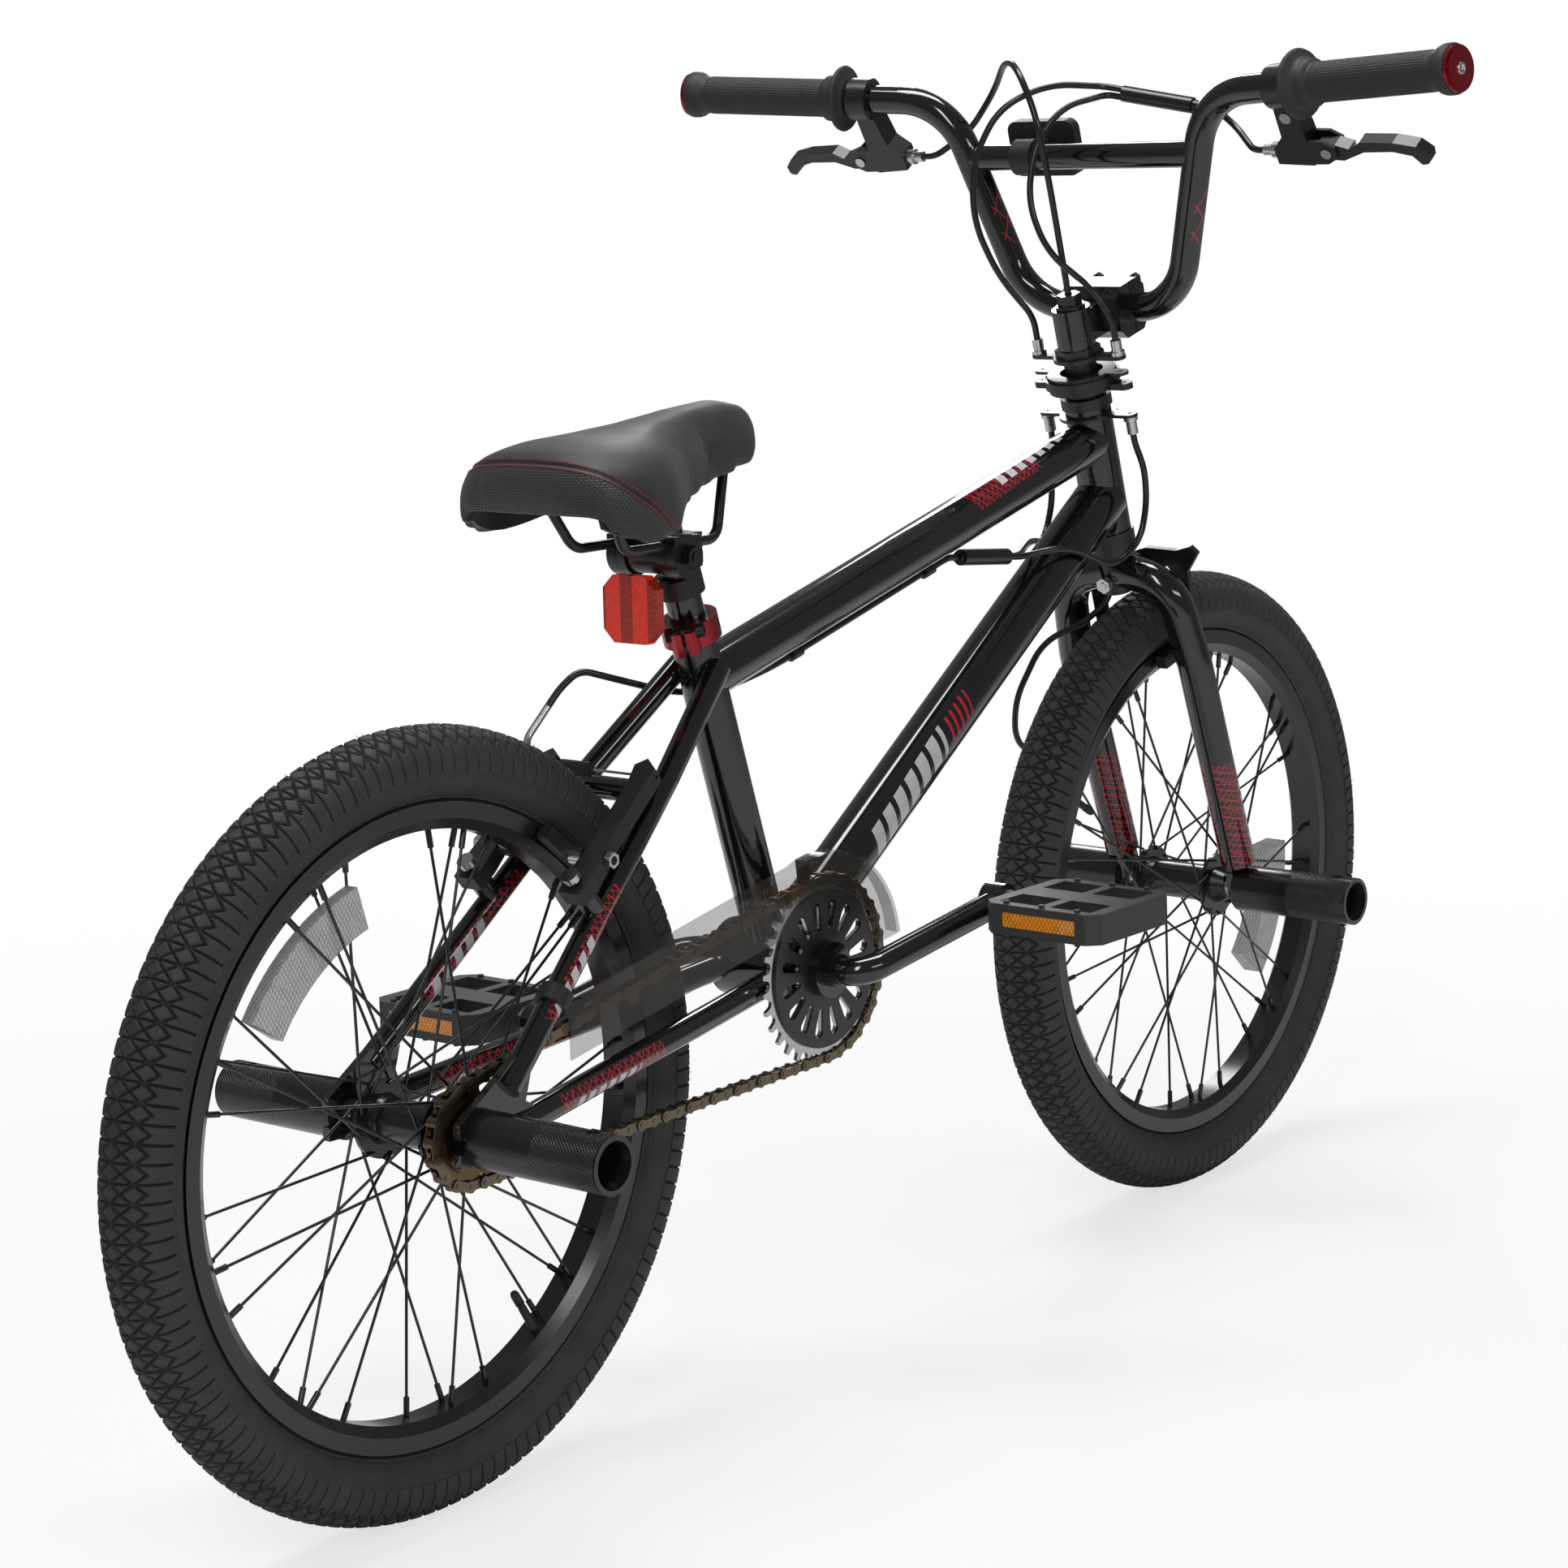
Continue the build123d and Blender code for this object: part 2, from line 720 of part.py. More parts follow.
def seat_clamp():
    low = seat_point(seat_tube_top - 13)
    high = seat_point(seat_tube_top + 3)
    line = (high - low).normalized()
    side = Vector(-0.86, -0.5, 0).normalized()
    across = line.cross(side).normalized()
    plane = Plane(origin=low, x_dir=side, z_dir=line)
    lugs = block(plane, (seat_tube_radius - 1, seat_tube_radius + 16), (-8.5, 8.5), (0, (high - low).length))
    lugs = chamfer(lugs.edges().filter_by(Axis(origin=(0, 0, 0), direction=line)), 2.5)
    collar = rod(low, high, seat_tube_radius + 4.5) + lugs
    collar -= rod(low - line, high + line, seat_tube_radius + fit)
    collar -= block(plane, (0, 60), (-1.4, 1.4), (-5, 30))
    centre = low + line * (high - low).length / 2 + side * (seat_tube_radius + 9)
    collar -= rod(centre - across * 20, centre + across * 20, 3.1)
    lip = ring(seat_point(seat_tube_top + gap), high, seat_tube_radius - 0.2, post_radius + fit)
    bolt = rod(centre - across * 11, centre + across * 8.7, 3.0)
    bolt += rod(centre + across * 8.7, centre + across * 14, 5.0)
    bolt -= rod(centre + across * 11, centre + across * 15, 2.4)
    bolt += hexagon(centre - across * 8.7, centre - across * 12.7, 5.6)
    write("seat_clamp", collar, lip, bolt)


def seat_post():
    low = seat_point(post_bottom)
    post = rod(low, seat_point(post_step), post_radius) + rod(low, seat_point(post_top), stub_radius)
    write("seat_post", post - rod(seat_point(post_bottom - 5), seat_point(post_step - 8), post_bore))


clamp_bolt = seat_point(clamp_height) + Vector(-stub_radius - 7, 0, 0)


def rail_clamp():
    """The rail clamp: a block on the post's stub, serrated side plates and a cross bolt."""
    line = (seat_point(post_top) - seat_point(post_step)).normalized()
    middle = seat_point(clamp_height)
    body = block(Plane.XY, (clamp_bolt.X - 2, middle.X + 16), (-14, 14), (post_step + 3.0, rail_height + 5))
    body += rod(clamp_bolt - left * 14, clamp_bolt + left * 14, clamp_radius - 2)
    body -= rod(seat_point(post_step - 8), seat_point(post_top + 18), stub_radius + fit)
    body -= rod(seat_point(post_step - 20), seat_point(post_step) + line * gap, post_radius + 6)
    bolt_bore = rod(clamp_bolt - left * 50, clamp_bolt + left * 50, clamp_bolt_radius + fit)
    parts = [body - bolt_bore]
    for way in (-1, 1):
        rail_start = Vector(clamp_bolt.X - 60, way * rail_spread, rail_height)
        rail_end = Vector(clamp_bolt.X + 60, way * rail_spread, rail_height)
        rail_bore = rod(rail_start, rail_end, rail_radius + fit)
        for low, high in ((14.2, rail_spread - 0.2), (rail_spread + 0.2, rail_spread + 8)):
            span = tuple(sorted((way * low, way * high)))
            disc = rod(clamp_bolt + left * way * low, clamp_bolt + left * way * high, clamp_radius)
            ear_x = (clamp_bolt.X - 14, clamp_bolt.X + 14)
            disc += block(Plane.XY, ear_x, span, (clamp_height, rail_height + 6))
            parts.append(disc - rail_bore - bolt_bore)
    face = rail_spread + 8.2
    bolt = rod(clamp_bolt - left * (face + 7.8), clamp_bolt + left * (face + 5.8), clamp_bolt_radius)
    bolt += hexagon(clamp_bolt + left * face, clamp_bolt + left * (face + 5.8), 8.0)
    bolt += hexagon(clamp_bolt - left * face, clamp_bolt - left * (face + 6.8), 8.0)
    write("rail_clamp", parts, bolt)


saddle_stations = [
    # ahead of the rear axle, half width, top, bottom
    (118, 50, 664, 640),
    (132, 70, 675, 622),
    (160, 77, 680, 613),
    (195, 70, 682, 618),
    (230, 48, 686, 632),
    (270, 31, 692, 641),
    (312, 26, 696, 647),
    (338, 21, 692, 652),
    (350, 12, 682, 660),
]


def saddle_form(inset, skin, drop):
    """The saddle's outer form, or the same form shrunk by an inset and reaching lower."""
    sections = []
    first = saddle_stations[0][0] + inset
    last = saddle_stations[-1][0] - inset
    for ahead, half, top, bottom in saddle_stations:
        place = min(max(ahead, first), last)
        half = half - inset if half > inset + 6 else 6
        high = top - skin
        low = bottom - drop
        x = rear_axle.X + place
        points = []
        for share in (0.0, 0.18, 0.45, 0.75, 1.0):
            angle = math.pi * share / 2
            points.append((half * math.cos(angle) ** 0.75, low + (high - low) * math.sin(angle) ** 0.62))
        outline = [Vector(x, y, z) for y, z in points]
        outline += [Vector(x, -y, z) for y, z in reversed(points[:-1])]
        curve = Spline(*outline)
        base = Line(outline[-1], outline[0])
        sections.append(make_face([curve, base]))
    return sections


def saddle():
    outer = loft(saddle_form(0, 0, 0))
    hollow = loft(saddle_form(10, 12, 14)[1:-1])
    floor = loft(saddle_form(10, 12, -6)[1:-1])
    shell_inner = loft(saddle_form(13, 15, 20)[1:-1])
    pad = outer - hollow
    base = (floor & hollow) - shell_inner
    return largest(pad), largest(base)


def saddle_rails():
    made = []
    for way in (-1, 1):
        points = [
            Vector(rear_axle.X + 167, way * 30, 648),
            Vector(rear_axle.X + 192, way * rail_spread, rail_height),
            Vector(rear_axle.X + 288, way * rail_spread, rail_height),
            Vector(rear_axle.X + 316, way * 9, 664),
        ]
        made.append(bent(points, [16.0, 16.0], rail_radius))
    sockets = []
    for x, y, z, half in ((167, 30, 648, 8), (167, -30, 648, 8), (312, 0, 664, 15)):
        spans = ((rear_axle.X + x - 9, rear_axle.X + x + 9), (y - half, y + half), (z - 8, z + 12))
        sockets.append(block(Plane.XY, *spans))
    return made, sockets


def saddle_set():
    pad, base = saddle()
    rails, sockets = saddle_rails()
    for socket in sockets:
        base += socket
    for rail in rails:
        base -= rail
    pad -= base
    for rail in rails:
        pad -= rail
    write("saddle_pad", largest(pad))
    write("saddle_base", base)
    write("saddle_rails", rails)


# Cockpit


def bar_point(side):
    """A point on the grip run of the handlebar, at a distance to the left of the middle."""
    way = 1 if side > 0 else -1
    share = (abs(side) - bar_shoulder) / (bar_end - bar_shoulder)
    return steer(
        stem_height + bar_rise + bar_tip_rise * share,
        stem_reach + riser_lean - bar_sweep * share,
        way * abs(side),
    )


def riser_point(height, way):
    share = (height - stem_height) / bar_rise
    side = bar_base + (bar_shoulder - bar_base) * share
    return steer(height, stem_reach + riser_lean * share, way * side)


def handlebar():
    points = [bar_point(-bar_end), bar_point(-bar_shoulder), steer(stem_height, stem_reach, -bar_base)]
    points += [steer(stem_height, stem_reach, bar_base), bar_point(bar_shoulder), bar_point(bar_end)]
    bends = [58.0, 52.0, 52.0, 58.0]
    outside = bent(points, bends, bar_radius)
    bar = bent(points, bends, bar_radius, bar_wall)
    ends = [riser_point(crossbar_height, way) for way in (-1, 1)]
    cross = largest(ring(ends[0], ends[1], crossbar_radius, crossbar_radius - bar_wall) - outside)
    write("handlebar", bar, cross)


def revolved_on(start, end, outline):
    """An outline of (along, radius) points turned about the line from start to end."""
    line = (end - start).normalized()
    side = line.cross(Vector(0, 0, 1)).normalized()
    plane = Plane(origin=start, x_dir=line, z_dir=line.cross(side))
    return revolve(plane * make_face(Polyline(*outline, close=True)), axis=Axis(start, line))


def grip(way):
    start = bar_point(way * grip_start)
    end = bar_point(way * bar_end)
    long = (end - start).length
    bore = bar_radius + fit
    outline = [
        (0, bore),
        (0, 17),
        (3, grip_flange - 1),
        (5, grip_flange),
        (8, grip_flange - 1),
        (11, 18.5),
        (18, 18),
        (20, grip_radius),
        (long - 16, grip_radius),
        (long - 10, grip_end_radius - 1),
        (long - 6, grip_end_radius),
        (long - 1, grip_end_radius),
        (long, bore),
    ]
    return revolved_on(start, end, outline)


def bar_plug(way):
    """A bar-end plug with its expander screw."""
    start = bar_point(way * bar_end)
    line = (start - bar_point(way * grip_start)).normalized()
    plug = rod(start + line * 0.2, start + line * 2.2, grip_end_radius - 1.5)
    return plug + rod(start + line * 2.2, start + line * 3.6, grip_end_radius - 4)


lever_down = (up_axis * -0.94 + fore_axis * 0.34).normalized()


def lever_frame(way):
    """The lever's working plane: x outwards along the bar, y down from it, z across."""
    origin = bar_point(way * lever_place) - left * way * lever_place
    return Plane(origin=origin, x_dir=left * way, z_dir=(left * way).cross(lever_down))


def lever_bracket(way):
    frame = lever_frame(way)
    here = bar_point(way * lever_place)
    line = (bar_point(way * bar_end) - here).normalized()
    collar = rod(here - line * 9, here + line * 8, 16.5)
    half = 8.6
    outline = Polyline((184, 8), (200, 8), (202, 40), (202, 66), (172, 64), (172, 50), (182, 40), close=True)
    arm = frame * extrude(Pos(0, 0, -half) * make_face(outline), amount=2 * half)
    cheeks = []
    for low, high in ((-half, -lever_half - gap), (lever_half + gap, half)):
        outline = Polyline((196, 44), (214, 45), (223, 51), (223, 60), (214, 65), (196, 65), close=True)
        cheeks.append(frame * extrude(Pos(0, 0, low) * make_face(outline), amount=high - low))
    body = collar + arm + cheeks[0] + cheeks[1]
    body -= rod(here - line * 30, here + line * 30, bar_radius + fit)
    pivot = frame.from_local_coords(Vector(lever_pivot, lever_drop, 0))
    across = frame.z_dir
    body -= rod(pivot - across * 20, pivot + across * 20, lever_pin + fit)
    barrel_start = frame.from_local_coords(Vector(171.8, barrel_drop, 0))
    barrel_end = frame.from_local_coords(Vector(158, barrel_drop, 0))
    middle = frame.from_local_coords(Vector(166, barrel_drop, 0))
    barrel = rod(barrel_start, barrel_end, 4.2) + rod(barrel_start, middle, 6.2)
    barrel -= rod(barrel_end, barrel_end + left * way * 5, cable_radius + fit)
    pin = rod(pivot - across * 9.4, pivot + across * 9.4, lever_pin)
    pin += rod(pivot + across * 8.9, pivot + across * 10.2, 4.2)
    pin += rod(pivot - across * 10.2, pivot - across * 8.9, 4.2)
    screw = frame.from_local_coords(Vector(193, 21, 0))
    bolt = rod(screw - across * 12, screw - across * 8.9, 4.5)
    return body, [barrel, pin, bolt]


def brake_lever(way):
    """A two-finger lever blade, hooked at its tip."""
    frame = lever_frame(way)
    outline = FilletPolyline(
        (205.5, 62),
        (226, 64),
        (244, 57),
        (268, 57),
        (283, 61),
        (289, 69),
        (295, 68),
        (296, 61),
        (288, 53),
        (270, 49),
        (243, 48),
        (233, 54),
        (222, 50),
        (205.5, 49),
        radius=2.0,
        close=True,
    )
    blade = frame * extrude(Pos(0, 0, -lever_half) * make_face(outline), amount=2 * lever_half)
    pivot = frame.from_local_coords(Vector(lever_pivot, lever_drop, 0))
    return blade - rod(pivot - frame.z_dir * 9, pivot + frame.z_dir * 9, lever_pin + running)


def stem():
    plane = Plane(origin=steer(0), x_dir=fore_axis, z_dir=up_axis)
    ahead_span = (stem_reach - 20, stem_reach + 20)
    clamp = block(plane, ahead_span, (-stem_half, stem_half), (stem_height - 21, stem_height + 21))
    clamp = chamfer(clamp.edges().filter_by(Axis.Y), 8)
    column = rod(steer(stem_low), steer(stem_high), stem_radius)
    link = block(plane, (0, stem_reach), (-13, 13), (stem_low + 3, stem_high - 3))
    quill_bore = rod(steer(0), steer(stem_high + 5), 4.6)
    bar_left = steer(stem_height, stem_reach, 60)
    bar_right = steer(stem_height, stem_reach, -60)
    bar_bore = rod(bar_right, bar_left, bar_radius + fit)
    quill = rod(steer(70), steer(stem_low), steerer_bore - fit)
    holes = []
    bolts = []
    for height in (-15.8, 15.8):
        for side in (-17, 17):
            low = steer(stem_height + height, stem_reach - 16, side)
            high = steer(stem_height + height, stem_reach + 20.2, side)
            holes.append(rod(low, steer(stem_height + height, stem_reach + 30, side), 2.7))
            head = steer(stem_height + height, stem_reach + 25, side)
            bolts.append(rod(low, high, 2.6) + hexagon(high, head, 4.6))
    behind = block(plane, (-60, stem_reach - 0.4), (-80, 80), (0, 300))
    ahead = block(plane, (stem_reach + 0.4, 200), (-80, 80), (0, 300))
    body = column + link + (clamp & behind) + quill
    body -= quill_bore
    body -= bar_bore
    plate = (clamp & ahead) - bar_bore
    for hole in holes:
        body -= hole
        plate -= hole
    write("stem", body)
    hollow = rod(steer(30), steer(230), 3.3)
    bolt = rod(steer(50), steer(stem_high + 0.2), 4.4)
    bolt += rod(steer(stem_high + 0.2), steer(stem_high + 2.5), 11.5)
    bolt += hexagon(steer(stem_high + 2.5), steer(stem_high + 11), 9.5)
    bolt -= hollow
    wedge = rod(steer(50), steer(69.7), steerer_bore - fit) - rod(steer(40), steer(80), 4.6)
    write("stem_faceplate", plate, bolts, bolt, wedge)


def fork():
    caliper_bore = rod(steer(caliper_height, -60), steer(caliper_height, 60), caliper_bolt + fit)
    steerer = ring(steer(steerer_low), steer(steerer_high), steerer_radius, steerer_bore) - caliper_bore
    race = ring(steer(-5), steer(1.6), 19.0, steerer_radius + fit)
    nuts = ring(steer(head_high + 9.6), steer(head_high + 14), 16.0, steerer_radius + fit)
    lock = hexagon(steer(gyro_upper_height + 3.2), steer(stem_low - gap), 18.0)
    lock -= rod(steer(head_high - 18), steer(stem_high), steerer_radius + fit)
    behind = -steerer_radius
    bolt = rod(steer(caliper_height, behind - 9), steer(caliper_height, 42), caliper_bolt)
    bolt += hexagon(steer(caliper_height, behind - 2), steer(caliper_height, behind - 8), 6.5)
    bolt += hexagon(steer(caliper_height, 37), steer(caliper_height, 42), 6.0)
    write("fork_steerer", steerer, race, nuts, lock, bolt)
    legs = []
    plates = []
    for way in (-1, 1):
        ends = [
            steer(-20, 0, way * 4),
            steer(crown_height, 2, way * (fork_leg_spread - 8)),
            steer(-fork_bend, 6, way * fork_leg_spread),
            steer(-axle_to_crown + 24, fork_rake, way * fork_leg_spread),
        ]
        leg = bent(ends, [36.0, 60.0], fork_leg_radius, fork_leg_wall)
        leg = largest(leg - rod(steer(-60), steer(20), steerer_radius))
        inner = way * front_over_locknut / 2
        plane = Plane(origin=front_axle + left * inner, x_dir=fore_axis, z_dir=left * way)
        outline = make_face(Polyline((-9, 32), (9, 32), (13, 0), (9, -12), (-9, -12), (-13, 0), close=True))
        if plane.y_dir.dot(up_axis) < 0:
            outline = outline.mirror(Plane.XZ)
        plate = extrude(plane * outline, amount=dropout_thickness)
        hole = rod(front_axle + left * (inner - 20), front_axle + left * (inner + 20), axle_radius + fit)
        plates.append(plate - hole)
        legs.append(largest(leg - plates[-1] - caliper_bore))
    write("fork_legs", legs, plates)


# Axles, pegs and nuts


def axle_set(centre, over_locknut, wheel):
    outer = over_locknut / 2 + dropout_thickness
    rod_end = outer + peg_base + axle_stub
    axle = [rod(centre - left * rod_end, centre + left * rod_end, axle_radius)]
    for way in (-1, 1):
        spacer = over_locknut / 2 - 6
        axle.append(ring(centre + left * way * spacer, centre + left * way * over_locknut / 2,
                         9.0, axle_radius + 0.02))
        nut = hexagon(centre + left * way * (outer + peg_base + 0.1),
                      centre + left * way * (outer + peg_base + nut_height), nut_radius)
        nut -= rod(centre - left * way * 200, centre + left * way * 200, axle_radius + 0.02)
        axle += nut.solids()
    pegs = []
    for way in (-1, 1):
        start = centre + left * way * (outer + 0.1)
        end = centre + left * way * (outer + peg_length)
        peg = rod(start, end, peg_radius)
        peg -= rod(centre + left * way * (outer + peg_base), end + left * way, peg_bore)
        peg -= rod(start - left * way, end, axle_radius + fit)
        cross = centre + left * way * (outer + peg_length - 16)
        peg -= rod(cross - Vector(0, 0, 30), cross + Vector(0, 0, 30), 4.0)
        pegs += peg.solids()
    write(wheel + "_axle", axle)
    write(wheel + "_pegs", pegs)


# Brakes


def rear_arm(way):
    """One linear-pull arm on its stud, with its pad."""
    foot = Vector(stud_foot.X, way * stud_foot.Y, stud_foot.Z)
    plane = Plane(origin=foot + stud_axis * stud_offset, x_dir=(0, -way, 0), z_dir=stud_axis)
    up_sign = 1 if plane.y_dir.dot(stay_side) > 0 else -1
    outline = [
        (-9, -9), (9, -9), (10, 8), (8, 34), (9, 86),
        (12, 100), (4, 106), (-6, 98), (-6, 40), (-10, 8),
    ]
    face = make_face(Polyline(*[(x, up_sign * y) for x, y in outline], close=True))
    arm = extrude(plane * (Pos(0, 0, -rear_arm_thickness / 2) * face), amount=rear_arm_thickness)
    arm -= rod(foot + stud_axis * 5, foot + stud_axis * 60, 4.0 + running)
    pad_reach = math.sqrt((rim_outer - 6.0) ** 2 - 1)
    base = foot + stud_axis * stud_offset
    offset = 25.0
    for _ in range(30):
        place = base + stay_side * offset
        offset += pad_reach - math.hypot(place.X - rear_axle.X, place.Z - rear_axle.Z)
    pad_centre = Vector(place.X, 0, place.Z)
    radial = (pad_centre - rear_axle).normalized()
    tangent = Vector(-radial.Z, 0, radial.X)

    def out(distance):
        return pad_centre + left * way * distance

    inner = rim_half + pad_gap
    arm_side = foot.Y * way
    pad_plane = Plane(origin=out(inner), x_dir=tangent, z_dir=left * way)
    pad = block(pad_plane, (-30, 30), (-5, 5), (0, pad_depth))
    pad = fillet(pad.edges().filter_by(Axis.Y), 3)
    pad += rod(out(inner + pad_depth), out(arm_side + 12), pad_post)
    post_bore = rod(out(0), out(80), pad_post + fit)
    nut = hexagon(out(arm_side + 8.6), out(arm_side + 14), 5.5) - rod(out(0), out(80), pad_post + 0.02)
    cup = rod(out(inner + pad_depth + 0.2), out(arm_side - 10.2), 6.5) - post_bore
    return arm - post_bore, [pad, cup, nut]


arm_top = Vector(stud_foot.X, 0, stud_foot.Z) + stud_axis * stud_offset + stay_side * 96


def caliper(way, low, high):
    """One arm of the front caliper, in a layer of its own ahead of the crown."""
    plane = Plane(origin=steer(caliper_height, low), x_dir=left * way, z_dir=fore_axis)
    up_sign = 1 if plane.y_dir.dot(up_axis) > 0 else -1
    outline = [
        (-9, -6), (-6, 8), (10, 13), (38, 12), (52, 16), (58, 10), (52, 2), (46, -6),
        (45, -70), (43, -86), (34, -86), (34, -70), (35, -12), (28, -2), (8, -9),
    ]
    face = make_face(Polyline(*[(x, up_sign * y) for x, y in outline], close=True))
    arm = extrude(plane * face, amount=high - low)
    arm -= rod(steer(caliper_height, -60), steer(caliper_height, 90), caliper_bolt + running)
    reach = math.sqrt((rim_outer - 6.0) ** 2 - (low - fork_rake + 2.5) ** 2)
    middle = (low + high) / 2
    inner = rim_half + pad_gap
    post = pad_post - 0.2

    def out(distance):
        return steer(reach - axle_to_crown, middle, way * distance)

    pad_plane = Plane(origin=out(inner), x_dir=fore_axis, z_dir=left * way)
    pad = block(pad_plane, (-22, 22), (-5, 5), (0, pad_depth))
    pad += rod(out(inner + pad_depth - 1), out(50), post)
    return arm - rod(out(0), out(80), post + fit), pad


def gyro():
    plane = Plane(origin=steer(0), x_dir=fore_axis, z_dir=up_axis)
    wire_bore = wire_radius + 0.5
    housing_bore = cable_radius + fit

    def plate(height, thick, inner, outer, arm):
        made = rod(steer(height), steer(height + thick), outer)
        made += block(plane, (-6, 6), (-arm, arm), (height, height + thick))
        for way in (-1, 1):
            made += rod(steer(height, 0, way * arm), steer(height + thick, 0, way * arm), 6)
        made -= rod(steer(height - 1), steer(height + thick + 1), inner)
        for way in (-1, 1):
            made -= rod(steer(height - 1, 0, way * arm), steer(height + thick + 1, 0, way * arm), wire_bore)
        return made

    upper = plate(gyro_upper_height, 3.0, steerer_radius + fit, 20.0, gyro_arm)
    barrels = []
    for way in (-1, 1):
        top = gyro_upper_height + 3.1
        barrel = rod(steer(top, 0, way * gyro_arm), steer(top + 12, 0, way * gyro_arm), 4.2)
        barrel += rod(steer(top, 0, way * gyro_arm), steer(top + 3, 0, way * gyro_arm), 5.6)
        barrel -= rod(steer(top - 1, 0, way * gyro_arm), steer(top + 8, 0, way * gyro_arm), wire_bore)
        barrel -= rod(steer(top + 8, 0, way * gyro_arm), steer(top + 13, 0, way * gyro_arm), housing_bore)
        barrels.append(barrel)
    write("gyro_upper_plate", upper, barrels)
    lower = plate(gyro_lower_height, 2.5, head_tube_radius + fit, 23.0, gyro_arm + 2)
    barrels = []
    for way in (-1, 1):
        top = gyro_lower_height - 0.1
        spot = way * (gyro_arm + 2)
        barrel = rod(steer(top - 14, 0, spot), steer(top, 0, spot), 4.2)
        barrel += rod(steer(top - 3, 0, spot), steer(top, 0, spot), 5.6)
        barrel -= rod(steer(top - 15, 0, spot), steer(top - 8, 0, spot), housing_bore)
        barrel -= rod(steer(top - 9, 0, spot), steer(top + 1, 0, spot), wire_bore)
        barrels.append(barrel)
    write("gyro_lower_plate", lower, barrels)
    low_ring = plate(gyro_ring_height, 5.0, 17.0, 27.0, gyro_arm + 2)
    low_ring += ring(steer(gyro_ring_height + 5), steer(gyro_ring_height + 11), 29.5, 27.5)
    low_ring += ring(steer(gyro_ring_height + 4), steer(gyro_ring_height + 5.2), 29.5, 24.0)
    write("gyro_lower_ring", low_ring)
    high_ring = plate(gyro_ring_height + 11.4, 2.4, 17.0, 27.0, gyro_arm)
    high_ring += ring(steer(gyro_ring_height + 5.6), steer(gyro_ring_height + 11.5), 27.0, 24.5)
    write("gyro_upper_ring", high_ring)


# Cables


def lever_exit(way, reach):
    return lever_frame(way).from_local_coords(Vector(reach, barrel_drop, 0))


splitter_start = steer(333, 78, -88)
splitter_end = steer(345, 74, -30)


def upper_cables():
    line = (splitter_end - splitter_start).normalized()
    tube = rod(splitter_start, splitter_end, 6.2) + rod(splitter_start, splitter_start - line * 5, 4.5)
    feed = [
        lever_exit(-1, 161),
        lever_exit(-1, 148),
        steer(316, 77, -124),
        splitter_start - line * 20,
        splitter_start - line * 5.4,
    ]
    rise = line.cross(fore_axis).cross(line).cross(line).normalized()
    ends = [splitter_end + line * 0.3 + rise * step for step in (-3.1, 3.1)]
    top = gyro_upper_height + 3.1
    long_route = [
        ends[1],
        ends[1] + line * 16,
        steer(362, 46, 18),
        steer(352, 18, 48),
        steer(318, -4, 64),
        steer(272, -13, 68),
        steer(226, -8, 57),
        steer(top + 30, 0, gyro_arm),
        steer(top + 8.2, 0, gyro_arm),
    ]
    short_route = [
        ends[0],
        ends[0] + line * 14,
        steer(346, 38, 4),
        steer(322, 14, 18),
        steer(284, -4, 20),
        steer(246, -10, 6),
        steer(214, -4, -26),
        steer(top + 28, 0, -gyro_arm),
        steer(top + 8.2, 0, -gyro_arm),
    ]
    runs = [cable("lever cable", feed), cable("long upper cable", long_route)]
    write("upper_cables", tube, runs, cable("short upper cable", short_route))


junction_front = Vector(rear_axle.X + 661, 0, 553)
junction_back = Vector(rear_axle.X + 601, 0, 558.5)


def top_tube_run(share, drop, side=0.0):
    point = top_start + (top_end - top_start) * share
    line = (top_end - top_start).normalized()
    down = line.cross(left).normalized()
    if down.Z > 0:
        down = down * -1
    return point + down * drop + left * side


def rear_cables():
    line = (junction_front - junction_back).normalized()
    tube = rod(junction_back, junction_front, 6.2) + rod(junction_back - line * 4, junction_back, 4.4)
    plug = gyro_lower_height - 8.3
    side = gyro_arm + 2
    right_route = [
        steer(plug, 0, -side),
        steer(plug - 14, 0, -side),
        steer(66, 3, -side - 3),
        steer(38, 0, -side - 2),
        steer(12, -14, -side),
        steer(2, -48, -33),
        Vector(rear_axle.X + 712, -23, 557),
        junction_front + line * 18 - left * 3.0,
        junction_front + line * 0.3 - left * 3.0,
    ]
    left_route = [
        steer(plug, 0, side),
        steer(plug - 14, 0, side),
        steer(64, -5, side + 3),
        steer(40, -14, side + 1),
        steer(16, -38, side - 2),
        Vector(rear_axle.X + 724, 22, 558),
        junction_front + line * 20 + left * 3.0,
        junction_front + line * 0.3 + left * 3.0,
    ]
    drop = top_tube_radius + cable_radius + 1.6
    back_route = [
        junction_back - line * 4.3,
        junction_back - line * 15,
        top_tube_run(0.57, drop),
        top_tube_run(0.15, drop),
        top_tube_run(0.07, drop + 2, 14.0),
        seat_point(494, 26, -4),
        Vector(rear_axle.X + 262, 44, 506),
        Vector(rear_axle.X + 234, 58, 516),
        noodle_start - noodle_line * 16,
        noodle_start - noodle_line * 0.4,
    ]
    clips = []
    for share in (0.2, 0.53):
        here = top_tube_run(share, drop)
        fore = (top_end - top_start).normalized()
        clip = ring(here - fore * 6, here + fore * 6, cable_radius + 2.0, cable_radius + fit)
        clips.append(largest(clip - rod(top_start, top_end, top_tube_radius + 0.02)))
    runs = [cable("right gyro cable", right_route), cable("left gyro cable", left_route)]
    write("rear_brake_cable", runs, cable("rear cable", back_route), clips, tube)


noodle_start = Vector(arm_top.X + 26, 66, arm_top.Z + 34)
noodle_knee = Vector(arm_top.X + 8, 70, arm_top.Z + 14)
noodle_line = (noodle_knee - noodle_start).normalized()


